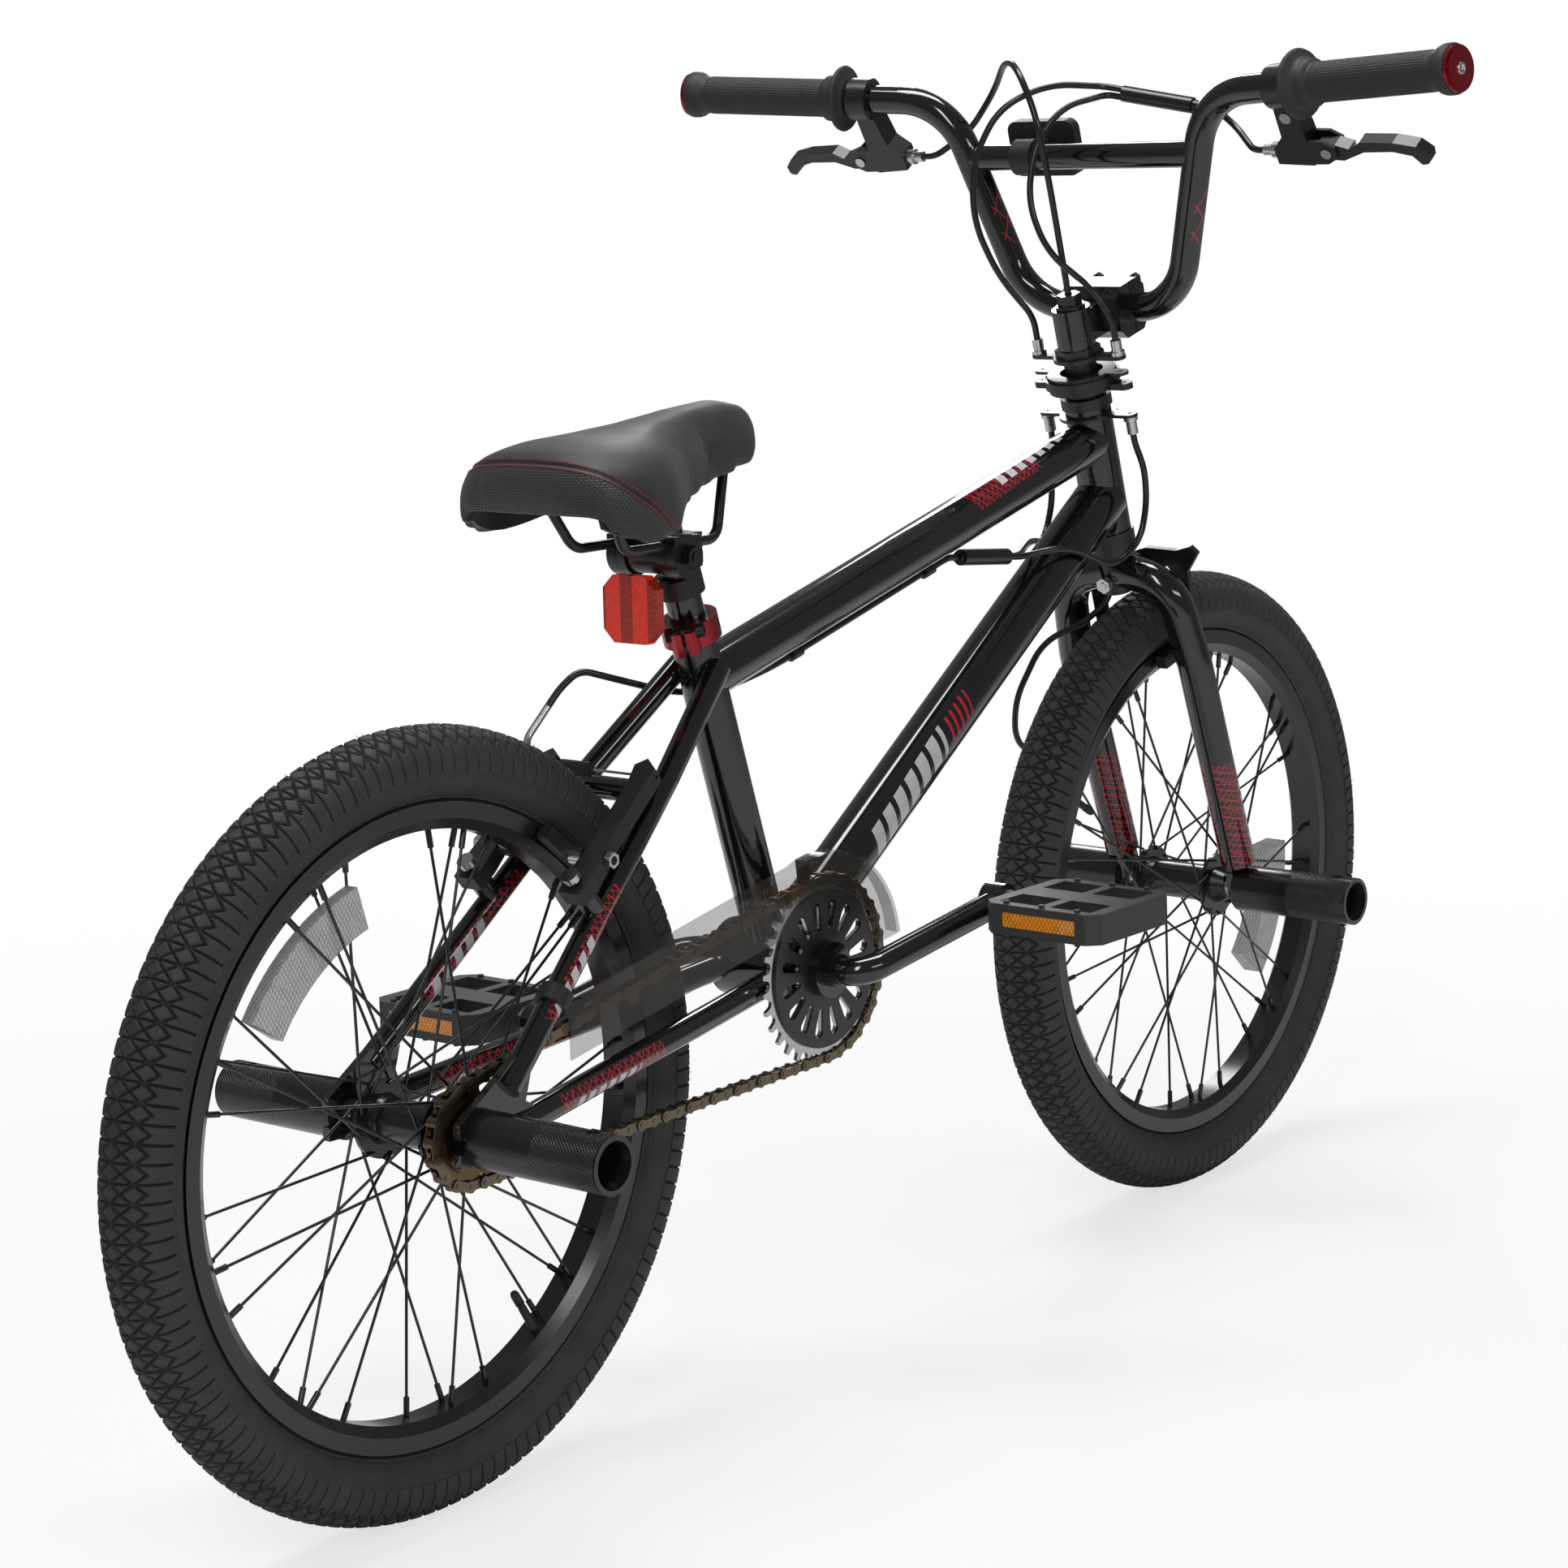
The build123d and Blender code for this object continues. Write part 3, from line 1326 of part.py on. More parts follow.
def noodle():
    """The bent metal tube that leads the cable through the left arm's top, and its boot."""
    points = [
        noodle_start,
        noodle_knee,
        Vector(arm_top.X, 62, arm_top.Z),
        Vector(arm_top.X, 31, arm_top.Z),
    ]
    tube = bent(points, [14.0, 8.0], noodle_radius)
    boot = rod(Vector(arm_top.X, 30.8, arm_top.Z), Vector(arm_top.X, 6, arm_top.Z), 5.0)
    boot -= rod(Vector(arm_top.X, 32, arm_top.Z), Vector(arm_top.X, 4, arm_top.Z), wire_radius + 0.3)
    return tube, boot


def inner_wire():
    return rod(Vector(arm_top.X, 12, arm_top.Z), Vector(arm_top.X, -stud_foot.Y - 1, arm_top.Z), wire_radius)


def front_brake_cable():
    route = [
        lever_exit(1, 161),
        lever_exit(1, 146),
        steer(318, 77, 122),
        steer(350, 74, 90),
        steer(380, 50, 58),
        steer(384, 22, 28),
        steer(352, 3, 4),
        steer(300, 0, 0),
        steer(46, 0, 0),
        steer(-4, 0, 6.7),
        steer(-44, 0, 6.7),
        steer(-60, -18, 24),
        steer(-74, -32, 60),
        steer(-118, -52, 82),
        steer(-152, -58, 86),
        steer(-176, -34, 88),
        steer(-166, 2, 86),
        steer(-130, 28, 80),
        steer(-86, 38, 68),
        steer(-46, 40, 56),
    ]
    write("front_brake_cable", cable("front cable", route))


def reflectors():
    post = seat_point(reflector_height)
    post_bore = rod(seat_point(reflector_height - 76), seat_point(reflector_height + 34), post_radius + fit)
    collar = rod(seat_point(reflector_height - 8), seat_point(reflector_height + 5), post_radius + 4)
    face_x = post.X - 40
    wide = 23.0
    cut = 14.0
    face = Plane(origin=(face_x, 3, reflector_height - 14), x_dir=(0, 1, 0), z_dir=(-1, 0, 0))
    quarter = [(-wide, -cut), (-cut, -wide), (cut, -wide), (wide, -cut)]
    outline = Polyline(*quarter, *[(-x, -y) for x, y in quarter], close=True)
    lens = extrude(face * make_face(outline), amount=9)
    arm_span = (face_x + 0.1, post.X - post_radius - 1)
    arm = block(Plane.XY, arm_span, (-4, 4), (reflector_height - 6, reflector_height + 2))
    write("rear_reflector", lens, arm + collar - post_bore)
    middle = (riser_point(crossbar_height, -1) + riser_point(crossbar_height, 1)) / 2 + left * 50
    bar_bore = rod(middle - left * 30, middle + left * 30, crossbar_radius + fit)
    collar = rod(middle - left * 9, middle + left * 9, crossbar_radius + 4)
    neck_plane = Plane(origin=middle, x_dir=fore_axis, z_dir=up_axis)
    neck = block(neck_plane, (crossbar_radius + 2, 22), (-8, 8), (-8, 8)) + collar - bar_bore
    face = Plane(origin=middle + fore_axis * 22.1, x_dir=left, z_dir=fore_axis)
    write("front_reflector", extrude(face * RectangleRounded(62, 44, 8), amount=9), neck)


def chain_guard():
    """A clear guard: a side plate over the upper run and the chainring's top, its rim and its brackets."""
    plane = Plane(origin=(bb.X, -guard_side, bb.Z), x_dir=(1, 0, 0), z_dir=(0, -1, 0))
    front_angle = math.radians(guard_front)
    back_angle = math.radians(guard_back)
    inner_angle = math.radians(148)
    rear_x = rear_axle.X + guard_tail - bb.X
    rear_low = rear_axle.Z + 30 - bb.Z
    rear_high = rear_axle.Z + 70 - bb.Z

    def on_arc(radius, angle):
        return (radius * math.cos(angle), radius * math.sin(angle))

    def outline(shrink):
        edge = guard_outer - shrink
        front_inner = on_arc(guard_inner, front_angle)
        back_inner = on_arc(guard_inner, inner_angle)
        tail_high = (rear_x + shrink, rear_high - shrink)
        tail_low = (rear_x + shrink, rear_low)
        crest = on_arc(edge, math.radians(60))
        edges = [
            ThreePointArc(on_arc(edge, front_angle), crest, on_arc(edge, back_angle)),
            Line(on_arc(edge, back_angle), tail_high),
            Line(tail_high, tail_low),
            Line(tail_low, back_inner),
            ThreePointArc(back_inner, on_arc(guard_inner, math.radians(80)), front_inner),
            Line(front_inner, on_arc(edge, front_angle)),
        ]
        return make_face(edges)

    plate = extrude(plane * outline(0), amount=-guard_wall)
    wall = extrude(plane * outline(0), amount=-guard_depth)
    wall -= extrude(plane * outline(guard_wall), amount=-guard_depth - 2)
    keep = block(plane, (rear_x + 4, guard_outer + 5), (-4, guard_outer + 5), (-20, 5))
    high = stay_low + stay_line * 72
    high = Vector(high.X, -high.Y, high.Z)
    line = Vector(stay_line.X, -stay_line.Y, stay_line.Z)
    band = rod(high - line * 6, high + line * 6, seat_stay_radius + 3)
    tab_side = (-guard_side - guard_wall - 0.1, -guard_side - 0.1)
    band += block(Plane.XY, (high.X + 2, rear_axle.X + guard_tail + 12), tab_side, (high.Z - 15, high.Z - 5))
    band -= rod(high - line * 40, high + line * 40, seat_stay_radius + fit)
    foot = bb_half_width + 2.6
    bracket = ring(bb - left * foot, bb - left * (foot + 1.5), 28.0, 19.0)
    away_angle = back_angle - 0.25
    away = Plane(origin=bb, x_dir=(math.cos(away_angle), 0, math.sin(away_angle)), z_dir=(0, 1, 0))
    top = guard_outer - guard_wall - 0.4
    bracket += block(away, (24, top), (-7, 7), (-foot - 1.5, -foot))
    bracket += block(away, (top - 1.6, top), (-7, 7), (-foot - 9.4, -foot))
    write("chain_guard", plate + largest(wall & keep), largest(band), bracket)


def drive_train():
    points, ring_phase, cog_phase = chain_points()
    write("chain", chain(points))
    low = -chain_line - sprocket_thickness / 2
    high = -chain_line + sprocket_thickness / 2
    chainring = sprocket(bb, ring_teeth, ring_pitch_radius, ring_phase, low, high)
    chainring -= rod(bb - left * 60, bb + left * 60, spindle_radius + fit)
    for slot in teardrop_slots(bb, low - 1, high + 1):
        chainring -= slot
    face = rod(bb + left * (low - 0.1), bb + left * (low - face_thickness), face_radius)
    face -= rod(bb - left * 60, bb + left * 60, spindle_radius + fit)
    for slot in teardrop_slots(bb, low - face_thickness - 1, low + 1):
        face -= slot
    face_side = low - face_thickness
    collar = ring(bb + left * (face_side - 0.1), bb + left * (face_side - 7), 20.0, spindle_radius + fit)
    lock = ring(bb + left * (bb_half_width + 3), bb + left * (bb_half_width + 9), 18.0, spindle_radius + fit)
    spacer = ring(bb - left * (bb_half_width + 3), bb + left * (high + 0.1), 18.0, spindle_radius + fit)
    write("chainring", chainring)
    write("chainring_face", face)
    write("crank", crank_set(), collar, lock, spacer, pedal_axle(-1), pedal_axle(1))
    cog = sprocket(rear_axle, cog_teeth, cog_pitch_radius, cog_phase, low, high)
    cog += rod(rear_axle - left * (chain_line + 4.5), rear_axle - left * (chain_line - 7.5), 24.0)
    cog -= rod(rear_axle - left * 70, rear_axle, freewheel_bore)
    write("freewheel", cog)
    for way, name in ((-1, "right"), (1, "left")):
        write(name + "_pedal", pedal(way))


def wheel(name, centre, flanges, hub_end, valve_angle, lens):
    valve_low = rim_inner - valve_length
    write(name + "_tyre", tyre(centre), valve(centre, valve_angle, valve_radius, valve_low, rim_outer + 1.4))
    write(name + "_rim", rim(centre, valve_angle))
    shell = hub(centre, flanges[0], flanges[1], hub_end, hub_end)
    if name == "rear":
        thread_end = centre - left * (chain_line + 4.0)
        shell += ring(thread_end, centre - left * 30, freewheel_bore - running, axle_radius + running)
    write(name + "_hub", shell)
    write(name + "_spokes", spokes(centre, flanges[0], flanges[1]), wheel_reflector(centre, *lens))


def wheels():
    rear_lens = (math.radians(126), 142.0, 171.0, rear_lens_half)
    front_lens = (math.radians(-19), 119.0, 148.0, front_lens_half)
    wheel("rear", rear_axle, (30.0, 27.0), rear_over_locknut / 2 - 6.3, math.radians(-58), rear_lens)
    wheel("front", front_axle, (32.0, 32.0), front_over_locknut / 2 - 6.3, math.radians(150), front_lens)


def brakes():
    for way, name in ((-1, "right"), (1, "left")):
        arm, pads = rear_arm(way)
        bore = noodle_radius + fit if way > 0 else wire_radius + 0.3
        arm -= rod(arm_top + left * way * 20, arm_top + left * way * 80, bore)
        if way > 0:
            pads += noodle()
        write("rear_" + name + "_brake_arm", arm, pads)
    write("brake_wire", inner_wire())
    arm, pad = caliper(1, 26.0, 31.0)
    write("front_left_brake_arm", arm, pad)
    arm, pad = caliper(-1, 31.4, 36.4)
    write("front_right_brake_arm", arm, pad)
    studs = []
    for way in (-1, 1):
        foot = Vector(stud_foot.X, way * stud_foot.Y, stud_foot.Z)
        head = foot + stud_axis * (stud_offset + 9.2)
        studs.append(rod(head, head + stud_axis * 5, 6.0))
    write("brake_bolts", studs)


def cockpit():
    handlebar()
    stem()
    write("grips", [grip(way) for way in (-1, 1)])
    write("bar_plugs", [bar_plug(way) for way in (-1, 1)])
    brackets = []
    for way, name in ((-1, "right"), (1, "left")):
        body, fittings = lever_bracket(way)
        brackets += [body, fittings]
        write(name + "_brake_lever", brake_lever(way))
    write("lever_brackets", brackets)


frame_tubes()
rear_triangle()
bearing_cups()
seat_clamp()
seat_post()
rail_clamp()
saddle_set()
cockpit()
fork()
axle_set(rear_axle, rear_over_locknut, "rear")
axle_set(front_axle, front_over_locknut, "front")
wheels()
drive_train()
gyro()
brakes()
upper_cables()
rear_cables()
front_brake_cable()
reflectors()
chain_guard()
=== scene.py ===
import json
import math

import bmesh
import bpy
import numpy as np
from mathutils import Matrix, Vector


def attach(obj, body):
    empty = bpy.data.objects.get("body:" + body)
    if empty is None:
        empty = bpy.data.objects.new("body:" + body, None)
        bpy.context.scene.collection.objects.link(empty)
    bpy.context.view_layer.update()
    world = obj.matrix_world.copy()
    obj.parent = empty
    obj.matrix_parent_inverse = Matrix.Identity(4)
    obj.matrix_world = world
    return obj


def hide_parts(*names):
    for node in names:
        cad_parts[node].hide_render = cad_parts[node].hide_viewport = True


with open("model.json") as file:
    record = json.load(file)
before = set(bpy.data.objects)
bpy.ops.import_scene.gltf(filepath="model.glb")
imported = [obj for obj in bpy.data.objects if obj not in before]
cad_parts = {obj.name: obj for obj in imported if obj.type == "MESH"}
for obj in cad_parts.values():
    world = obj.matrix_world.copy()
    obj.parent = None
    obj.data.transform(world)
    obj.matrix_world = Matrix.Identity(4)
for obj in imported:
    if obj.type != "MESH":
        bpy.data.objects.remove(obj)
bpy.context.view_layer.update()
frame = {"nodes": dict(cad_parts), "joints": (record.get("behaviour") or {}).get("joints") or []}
nodes = frame["nodes"]
joints = {joint["name"]: joint for joint in frame["joints"]}
mm = 0.001
turn = 2 * math.pi

# the steering frame: up the head tube, ahead of it, and the rider's left
upAxis = np.array(joints["steering"]["axis"], float)
foreAxis = np.array([upAxis[2], 0.0, -upAxis[0]])
leftAxis = np.array([0.0, 1.0, 0.0])
crown = np.array(joints["steering"]["pos_m"], float) - upAxis * 60 * mm
rearCentre = np.array(joints["rear_wheel_spin"]["pos_m"], float)
frontCentre = np.array(joints["front_wheel_spin"]["pos_m"], float)


def steer(along, ahead, side):
    # a point in the steering frame, from millimetres
    return crown + (upAxis * along + foreAxis * ahead + leftAxis * side) * mm


def addNode(tree, kind, **settings):
    node = tree.nodes.new(kind)
    for name, value in settings.items():
        setattr(node, name, value)
    return node


def feed(tree, socket, value):
    # a socket takes either another socket or a plain value
    if isinstance(value, bpy.types.NodeSocket):
        tree.links.new(value, socket)
    elif value is not None:
        socket.default_value = value


def mathOf(tree, operation, *values, clamp=False):
    node = addNode(tree, "ShaderNodeMath", operation=operation, use_clamp=clamp)
    for socket, value in zip(node.inputs, values):
        feed(tree, socket, value)
    return node.outputs[0]


def times(tree, first, second, clamp=False):
    return mathOf(tree, "MULTIPLY", first, second, clamp=clamp)


def vectorOf(tree, operation, *values):
    node = addNode(tree, "ShaderNodeVectorMath", operation=operation)
    for socket, value in zip(node.inputs, values):
        feed(tree, socket, value)
    return node.outputs["Value"] if operation in ("DOT_PRODUCT", "LENGTH") else node.outputs[0]


def mixOf(tree, share, first, second):
    node = addNode(tree, "ShaderNodeMix", data_type="RGBA")
    feed(tree, node.inputs[0], share)
    feed(tree, node.inputs[6], first)
    feed(tree, node.inputs[7], second)
    return node.outputs[2]


def noiseOf(tree, vector, scale, detail=2.0):
    node = addNode(tree, "ShaderNodeTexNoise")
    feed(tree, node.inputs["Vector"], vector)
    feed(tree, node.inputs["Scale"], scale)
    feed(tree, node.inputs["Detail"], detail)
    return node.outputs["Fac"]


def splitOf(tree, vector):
    node = addNode(tree, "ShaderNodeSeparateXYZ")
    feed(tree, node.inputs[0], vector)
    return node.outputs


def newGroup(name, inputs, outputs):
    group = bpy.data.node_groups.new(name, "ShaderNodeTree")
    for label, kind, value in inputs:
        socket = group.interface.new_socket(label, in_out="INPUT", socket_type="NodeSocket" + kind)
        if value is not None:
            socket.default_value = value
    for label, kind in outputs:
        group.interface.new_socket(label, in_out="OUTPUT", socket_type="NodeSocket" + kind)
    return group, addNode(group, "NodeGroupInput").outputs, addNode(group, "NodeGroupOutput").inputs


def useGroup(tree, group, **values):
    node = addNode(tree, "ShaderNodeGroup", node_tree=group)
    for name, value in values.items():
        feed(tree, node.inputs[name], value)
    return node.outputs


def makeSurfaceWear():
    # roughness drifts in soft patches, a fine grain goes to bump, and a thin haze of dust to colour
    group, given, out = newGroup(
        "surfaceWear",
        [("Vector", "Vector", None), ("Roughness", "Float", 0.3), ("Drift", "Float", 0.1),
         ("Grain", "Float", 900.0), ("Color", "Color", (0.02, 0.02, 0.02, 1)), ("Dust", "Float", 0.02)],
        [("Color", "Color"), ("Roughness", "Float"), ("Height", "Float")])
    patches = noiseOf(group, given["Vector"], 14.0, 3.0)
    swing = times(group, mathOf(group, "SUBTRACT", patches, 0.5), given["Drift"])
    feed(group, out["Roughness"], mathOf(group, "ADD", given["Roughness"], swing, clamp=True))
    haze = times(group, given["Dust"], noiseOf(group, given["Vector"], 60.0, 4.0))
    feed(group, out["Color"], mixOf(group, haze, given["Color"], (0.45, 0.43, 0.4, 1)))
    feed(group, out["Height"], noiseOf(group, given["Vector"], given["Grain"]))
    return group


def makeBrushedGrain():
    # scratches drawn out along one direction of the piece
    group, given, out = newGroup(
        "brushedGrain",
        [("Vector", "Vector", None), ("Stretch", "Vector", (30, 900, 900)), ("Roughness", "Float", 0.25),
         ("Depth", "Float", 0.15)],
        [("Roughness", "Float"), ("Height", "Float")])
    streaks = noiseOf(group, vectorOf(group, "MULTIPLY", given["Vector"], given["Stretch"]), 1.0, 3.0)
    swing = times(group, mathOf(group, "SUBTRACT", streaks, 0.5), given["Depth"])
    feed(group, out["Roughness"], mathOf(group, "ADD", given["Roughness"], swing, clamp=True))
    feed(group, out["Height"], streaks)
    return group


def makeTubeAxes():
    # how far a point lies along a tube, and how far up its side
    group, given, out = newGroup(
        "tubeAxes",
        [(label, "Vector", None) for label in ("Vector", "Start", "Axis", "Up")],
        [("Along", "Float"), ("Across", "Float")])
    local = vectorOf(group, "SUBTRACT", given["Vector"], given["Start"])
    feed(group, out["Along"], vectorOf(group, "DOT_PRODUCT", local, given["Axis"]))
    feed(group, out["Across"], vectorOf(group, "DOT_PRODUCT", local, given["Up"]))
    return group


def makeStripeBlock():
    # stripes inside a slanted block of a tube's side: a stripe shows where (along + across * lean
    # + across^2 * bow) / pitch has a fractional part under its share
    group, given, out = newGroup(
        "stripeBlock",
        [("Along", "Float", 0.0), ("Across", "Float", 0.0), ("Low", "Float", 0.0), ("High", "Float", 0.1),
         ("Bottom", "Float", -0.01), ("Top", "Float", 0.01), ("Slant", "Float", 0.3), ("Lean", "Float", 0.3),
         ("Bow", "Float", 0.0), ("Pitch", "Float", 0.005), ("Share", "Float", 0.5)],
        [("Mask", "Float")])
    edge = mathOf(group, "ADD", given["Along"], times(group, given["Across"], given["Slant"]))
    inside = times(group, mathOf(group, "GREATER_THAN", edge, given["Low"]),
                    mathOf(group, "LESS_THAN", edge, given["High"]))
    band = times(group, mathOf(group, "GREATER_THAN", given["Across"], given["Bottom"]),
                  mathOf(group, "LESS_THAN", given["Across"], given["Top"]))
    squared = times(group, given["Across"], given["Across"])
    bowed = times(group, squared, given["Bow"])
    line = mathOf(group, "ADD", given["Along"], times(group, given["Across"], given["Lean"]))
    phase = mathOf(group, "FRACT", mathOf(group, "DIVIDE", mathOf(group, "ADD", line, bowed), given["Pitch"]))
    stripe = mathOf(group, "LESS_THAN", phase, given["Share"])
    feed(group, out["Mask"], times(group, times(group, inside, band), stripe))
    return group


def makeCrossCells():
    # two families of slanted lines over a flat pair of coordinates, which leave raised diamonds
    group, given, out = newGroup(
        "crossCells",
        [("First", "Float", 0.0), ("Second", "Float", 0.0), ("Pitch", "Float", 0.0015),
         ("Lean", "Float", 1.0)],
        [("Height", "Float")])
    leaned = times(group, given["Second"], given["Lean"])
    heights = []
    for operation in ("ADD", "SUBTRACT"):
        line = mathOf(group, "DIVIDE", mathOf(group, operation, given["First"], leaned), given["Pitch"])
        away = mathOf(group, "ABSOLUTE", mathOf(group, "SUBTRACT", mathOf(group, "FRACT", line), 0.5))
        heights.append(times(group, mathOf(group, "SUBTRACT", 0.5, away), 3.0, clamp=True))
    feed(group, out["Height"], times(group, heights[0], heights[1]))
    return group


def makeBrickDots():
    # rows of short rounded dashes, each row shifted by half a dash
    group, given, out = newGroup(
        "brickDots",
        [("First", "Float", 0.0), ("Second", "Float", 0.0), ("Wide", "Float", 2.6), ("Tall", "Float", 1.7)],
        [("Height", "Float")])
    row = mathOf(group, "DIVIDE", given["Second"], given["Tall"])
    shift = times(group, mathOf(group, "FLOOR", row), 0.5)
    place = mathOf(group, "ADD", mathOf(group, "DIVIDE", given["First"], given["Wide"]), shift)
    sides = []
    for value in (place, row):
        away = mathOf(group, "ABSOLUTE", mathOf(group, "SUBTRACT", mathOf(group, "FRACT", value), 0.5))
        fall = times(group, mathOf(group, "POWER", away, 2.0), 4.2)
        sides.append(mathOf(group, "SUBTRACT", 1.0, fall, clamp=True))
    feed(group, out["Height"], times(group, sides[0], sides[1]))
    return group


surfaceWear = makeSurfaceWear()
brushedGrain = makeBrushedGrain()
tubeAxes = makeTubeAxes()
stripeBlock = makeStripeBlock()
crossCells = makeCrossCells()
brickDots = makeBrickDots()


finishes = {}


def newMaterial(name):
    finishes[name] = material = bpy.data.materials.new(name)
    material.use_nodes = True
    tree = material.node_tree
    place = addNode(tree, "ShaderNodeTexCoord").outputs["Object"]
    return tree, tree.nodes["Principled BSDF"], place


def plainly(node, values):
    for socket, value in values.items():
        node.inputs[socket].default_value = value


def bumpOf(tree, shader, height, distance, strength=0.5, under=None):
    relief = addNode(tree, "ShaderNodeBump")
    plainly(relief, {"Strength": strength, "Distance": distance * mm})
    feed(tree, relief.inputs["Height"], height)
    if under is not None:
        feed(tree, relief.inputs["Normal"], under)
    feed(tree, shader.inputs["Normal"], relief.outputs[0])
    return relief.outputs[0]


def finish(name, color, roughness, metallic=0.0, coat=0.0, coatRoughness=0.05, drift=0.1, grain=900.0,
           bump=0.02, dust=0.01, brushed=None, alpha=1.0, marks=None, relief=None):
    tree, shader, place = newMaterial(name)
    base = (*color, 1)
    if marks:
        base = paintMarks(tree, place, base, marks)
    worn = useGroup(tree, surfaceWear, Vector=place, Roughness=roughness, Drift=drift, Color=base, Dust=dust,
                    Grain=grain)
    height, rough = worn["Height"], worn["Roughness"]
    if brushed:
        lines = useGroup(tree, brushedGrain, Vector=place, Stretch=brushed, Roughness=roughness, Depth=drift)
        height, rough = lines["Height"], lines["Roughness"]
    feed(tree, shader.inputs["Base Color"], worn["Color"])
    feed(tree, shader.inputs["Roughness"], rough)
    plainly(shader, {"Metallic": metallic, "Coat Weight": coat, "Coat Roughness": coatRoughness,
                     "Alpha": alpha})
    normal = bumpOf(tree, shader, height, bump, 0.3)
    if relief:
        relief(tree, shader, place, normal)


def paintMarks(tree, place, base, marks):
    # printed blocks of stripes over the paint, one after another
    for mark in marks:
        axis = np.array(mark["end"], float) - np.array(mark["start"], float)
        axis /= np.linalg.norm(axis)
        upward = np.cross(np.cross(axis, mark["up"]), axis)
        upward /= np.linalg.norm(upward)
        axes = useGroup(tree, tubeAxes, Vector=place, Start=mark["start"], Axis=tuple(axis), Up=tuple(upward))
        stripe = useGroup(tree, stripeBlock, Along=axes["Along"], Across=axes["Across"], Low=mark["low"],
                          High=mark["high"], Bottom=mark["bottom"], Top=mark["top"], Slant=mark["slant"],
                          Lean=mark["lean"], Bow=mark["bow"], Pitch=mark["pitch"], Share=mark["share"])
        base = mixOf(tree, stripe["Mask"], base, (*mark["color"], 1))
    return base


markRed = (0.62, 0.012, 0.03)
markWhite = (0.72, 0.73, 0.76)


def hatch(start, end, low, high, half, up=(0, 0, 1)):
    # three fans of thin red lines that bend across each other
    made = []
    for lean, bow, pitch in ((0.75, 14.0, 0.0052), (-1.3, 22.0, 0.0066), (0.2, -30.0, 0.0085)):
        made.append(dict(start=start, end=end, low=low, high=high, bottom=-half, top=half, up=up,
                         slant=0.35, lean=lean, bow=bow, pitch=pitch, share=0.13, color=markRed))
    return made


def bars(start, end, low, high, bottom, top, up=(0, 0, 1), pitch=0.0165, share=0.62, lean=-0.45,
         color=markWhite):
    # a row of plain slanted bars
    return [dict(start=start, end=end, low=low, high=high, bottom=bottom, top=top, up=up, slant=-0.45,
                 lean=lean, bow=0.0, pitch=pitch, share=share, color=color)]


def fromRear(x, z):
    # a point on the bike's middle plane, from millimetres ahead of the rear axle and above the ground
    return (rearCentre[0] + x * mm, 0.0, z * mm)


topRun = (fromRear(267, 508), fromRear(750, 655))
downRun = (fromRear(365, 294), fromRear(762, 587))
stayRun = (fromRear(20, 285), fromRear(215, 452))
chainRun = (fromRear(30, 259), fromRear(345, 292))
legRun = (tuple(steer(-284, 22, 0)), tuple(steer(-100, 6, 0)))
riserRun = (tuple(steer(190, 45, 0)), tuple(steer(320, 48, 0)))

topMarks = hatch(*topRun, 0.345, 0.43, 0.0165) + bars(*topRun, 0.39, 0.487, -0.011, 0.007, pitch=0.0145)
downMarks = (bars(*downRun, 0.118, 0.232, -0.012, 0.007, pitch=0.0175, share=0.68)
             + bars(*downRun, 0.236, 0.272, -0.010, 0.006, pitch=0.0075, share=0.4, color=markRed))
stayMarks = hatch(*stayRun, 0.055, 0.165, 0.006) + bars(*stayRun, 0.06, 0.125, -0.004, 0.004, pitch=0.0125)
chainMarks = (hatch(*chainRun, 0.04, 0.155, 0.0068)
              + bars(*chainRun, 0.056, 0.128, -0.0065, -0.0005, pitch=0.0115))
legMarks = (hatch(*legRun, -0.005, 0.094, 0.0135, up=(1, 0, 0.3))
            + bars(*legRun, 0.014, 0.072, 0.003, 0.0125, up=(1, 0, 0.3), pitch=0.0115, share=0.55, lean=0.5))
riserMarks = []
for riserLean, riserBow in ((1.6, 0.0), (-1.3, 60.0)):
    riserMarks.append(dict(start=riserRun[0], end=riserRun[1], low=0.045, high=0.085, bottom=-0.008,
                           top=0.008, up=(1, 0, 0.3), slant=0.0, lean=riserLean, bow=riserBow,
                           pitch=0.021, share=0.075, color=markRed))
blackCoat = {"color": (0.0045, 0.0045, 0.005), "roughness": 0.13, "coat": 1.0, "coatRoughness": 0.025,
             "drift": 0.03, "grain": 500, "bump": 0.0008, "dust": 0.004}
pegCoat = {"color": (0.008, 0.008, 0.008), "roughness": 0.27, "coat": 0.5, "coatRoughness": 0.14,
           "bump": 0.02}
knurl = {"pegRadius": 19, "rows": 48, "lean": 0.9, "depth": 0.7}


def knurlRelief(centre, low, high):
    # a knurl round a peg, between two distances from the bike's middle plane
    def relief(tree, shader, place, normal):
        local = splitOf(tree, vectorOf(tree, "SUBTRACT", place, tuple(centre)))
        radius = knurl["pegRadius"] * mm
        arc = times(tree, mathOf(tree, "ARCTAN2", local["Z"], local["X"]), radius)
        side = mathOf(tree, "ABSOLUTE", local["Y"])
        cells = useGroup(tree, crossCells, First=arc, Second=side, Pitch=radius * turn / knurl["rows"],
                         Lean=knurl["lean"])["Height"]
        inside = times(tree, mathOf(tree, "GREATER_THAN", side, low),
                        mathOf(tree, "LESS_THAN", side, high))
        bumpOf(tree, shader, times(tree, cells, inside), knurl["depth"], 0.9, normal)
    return relief


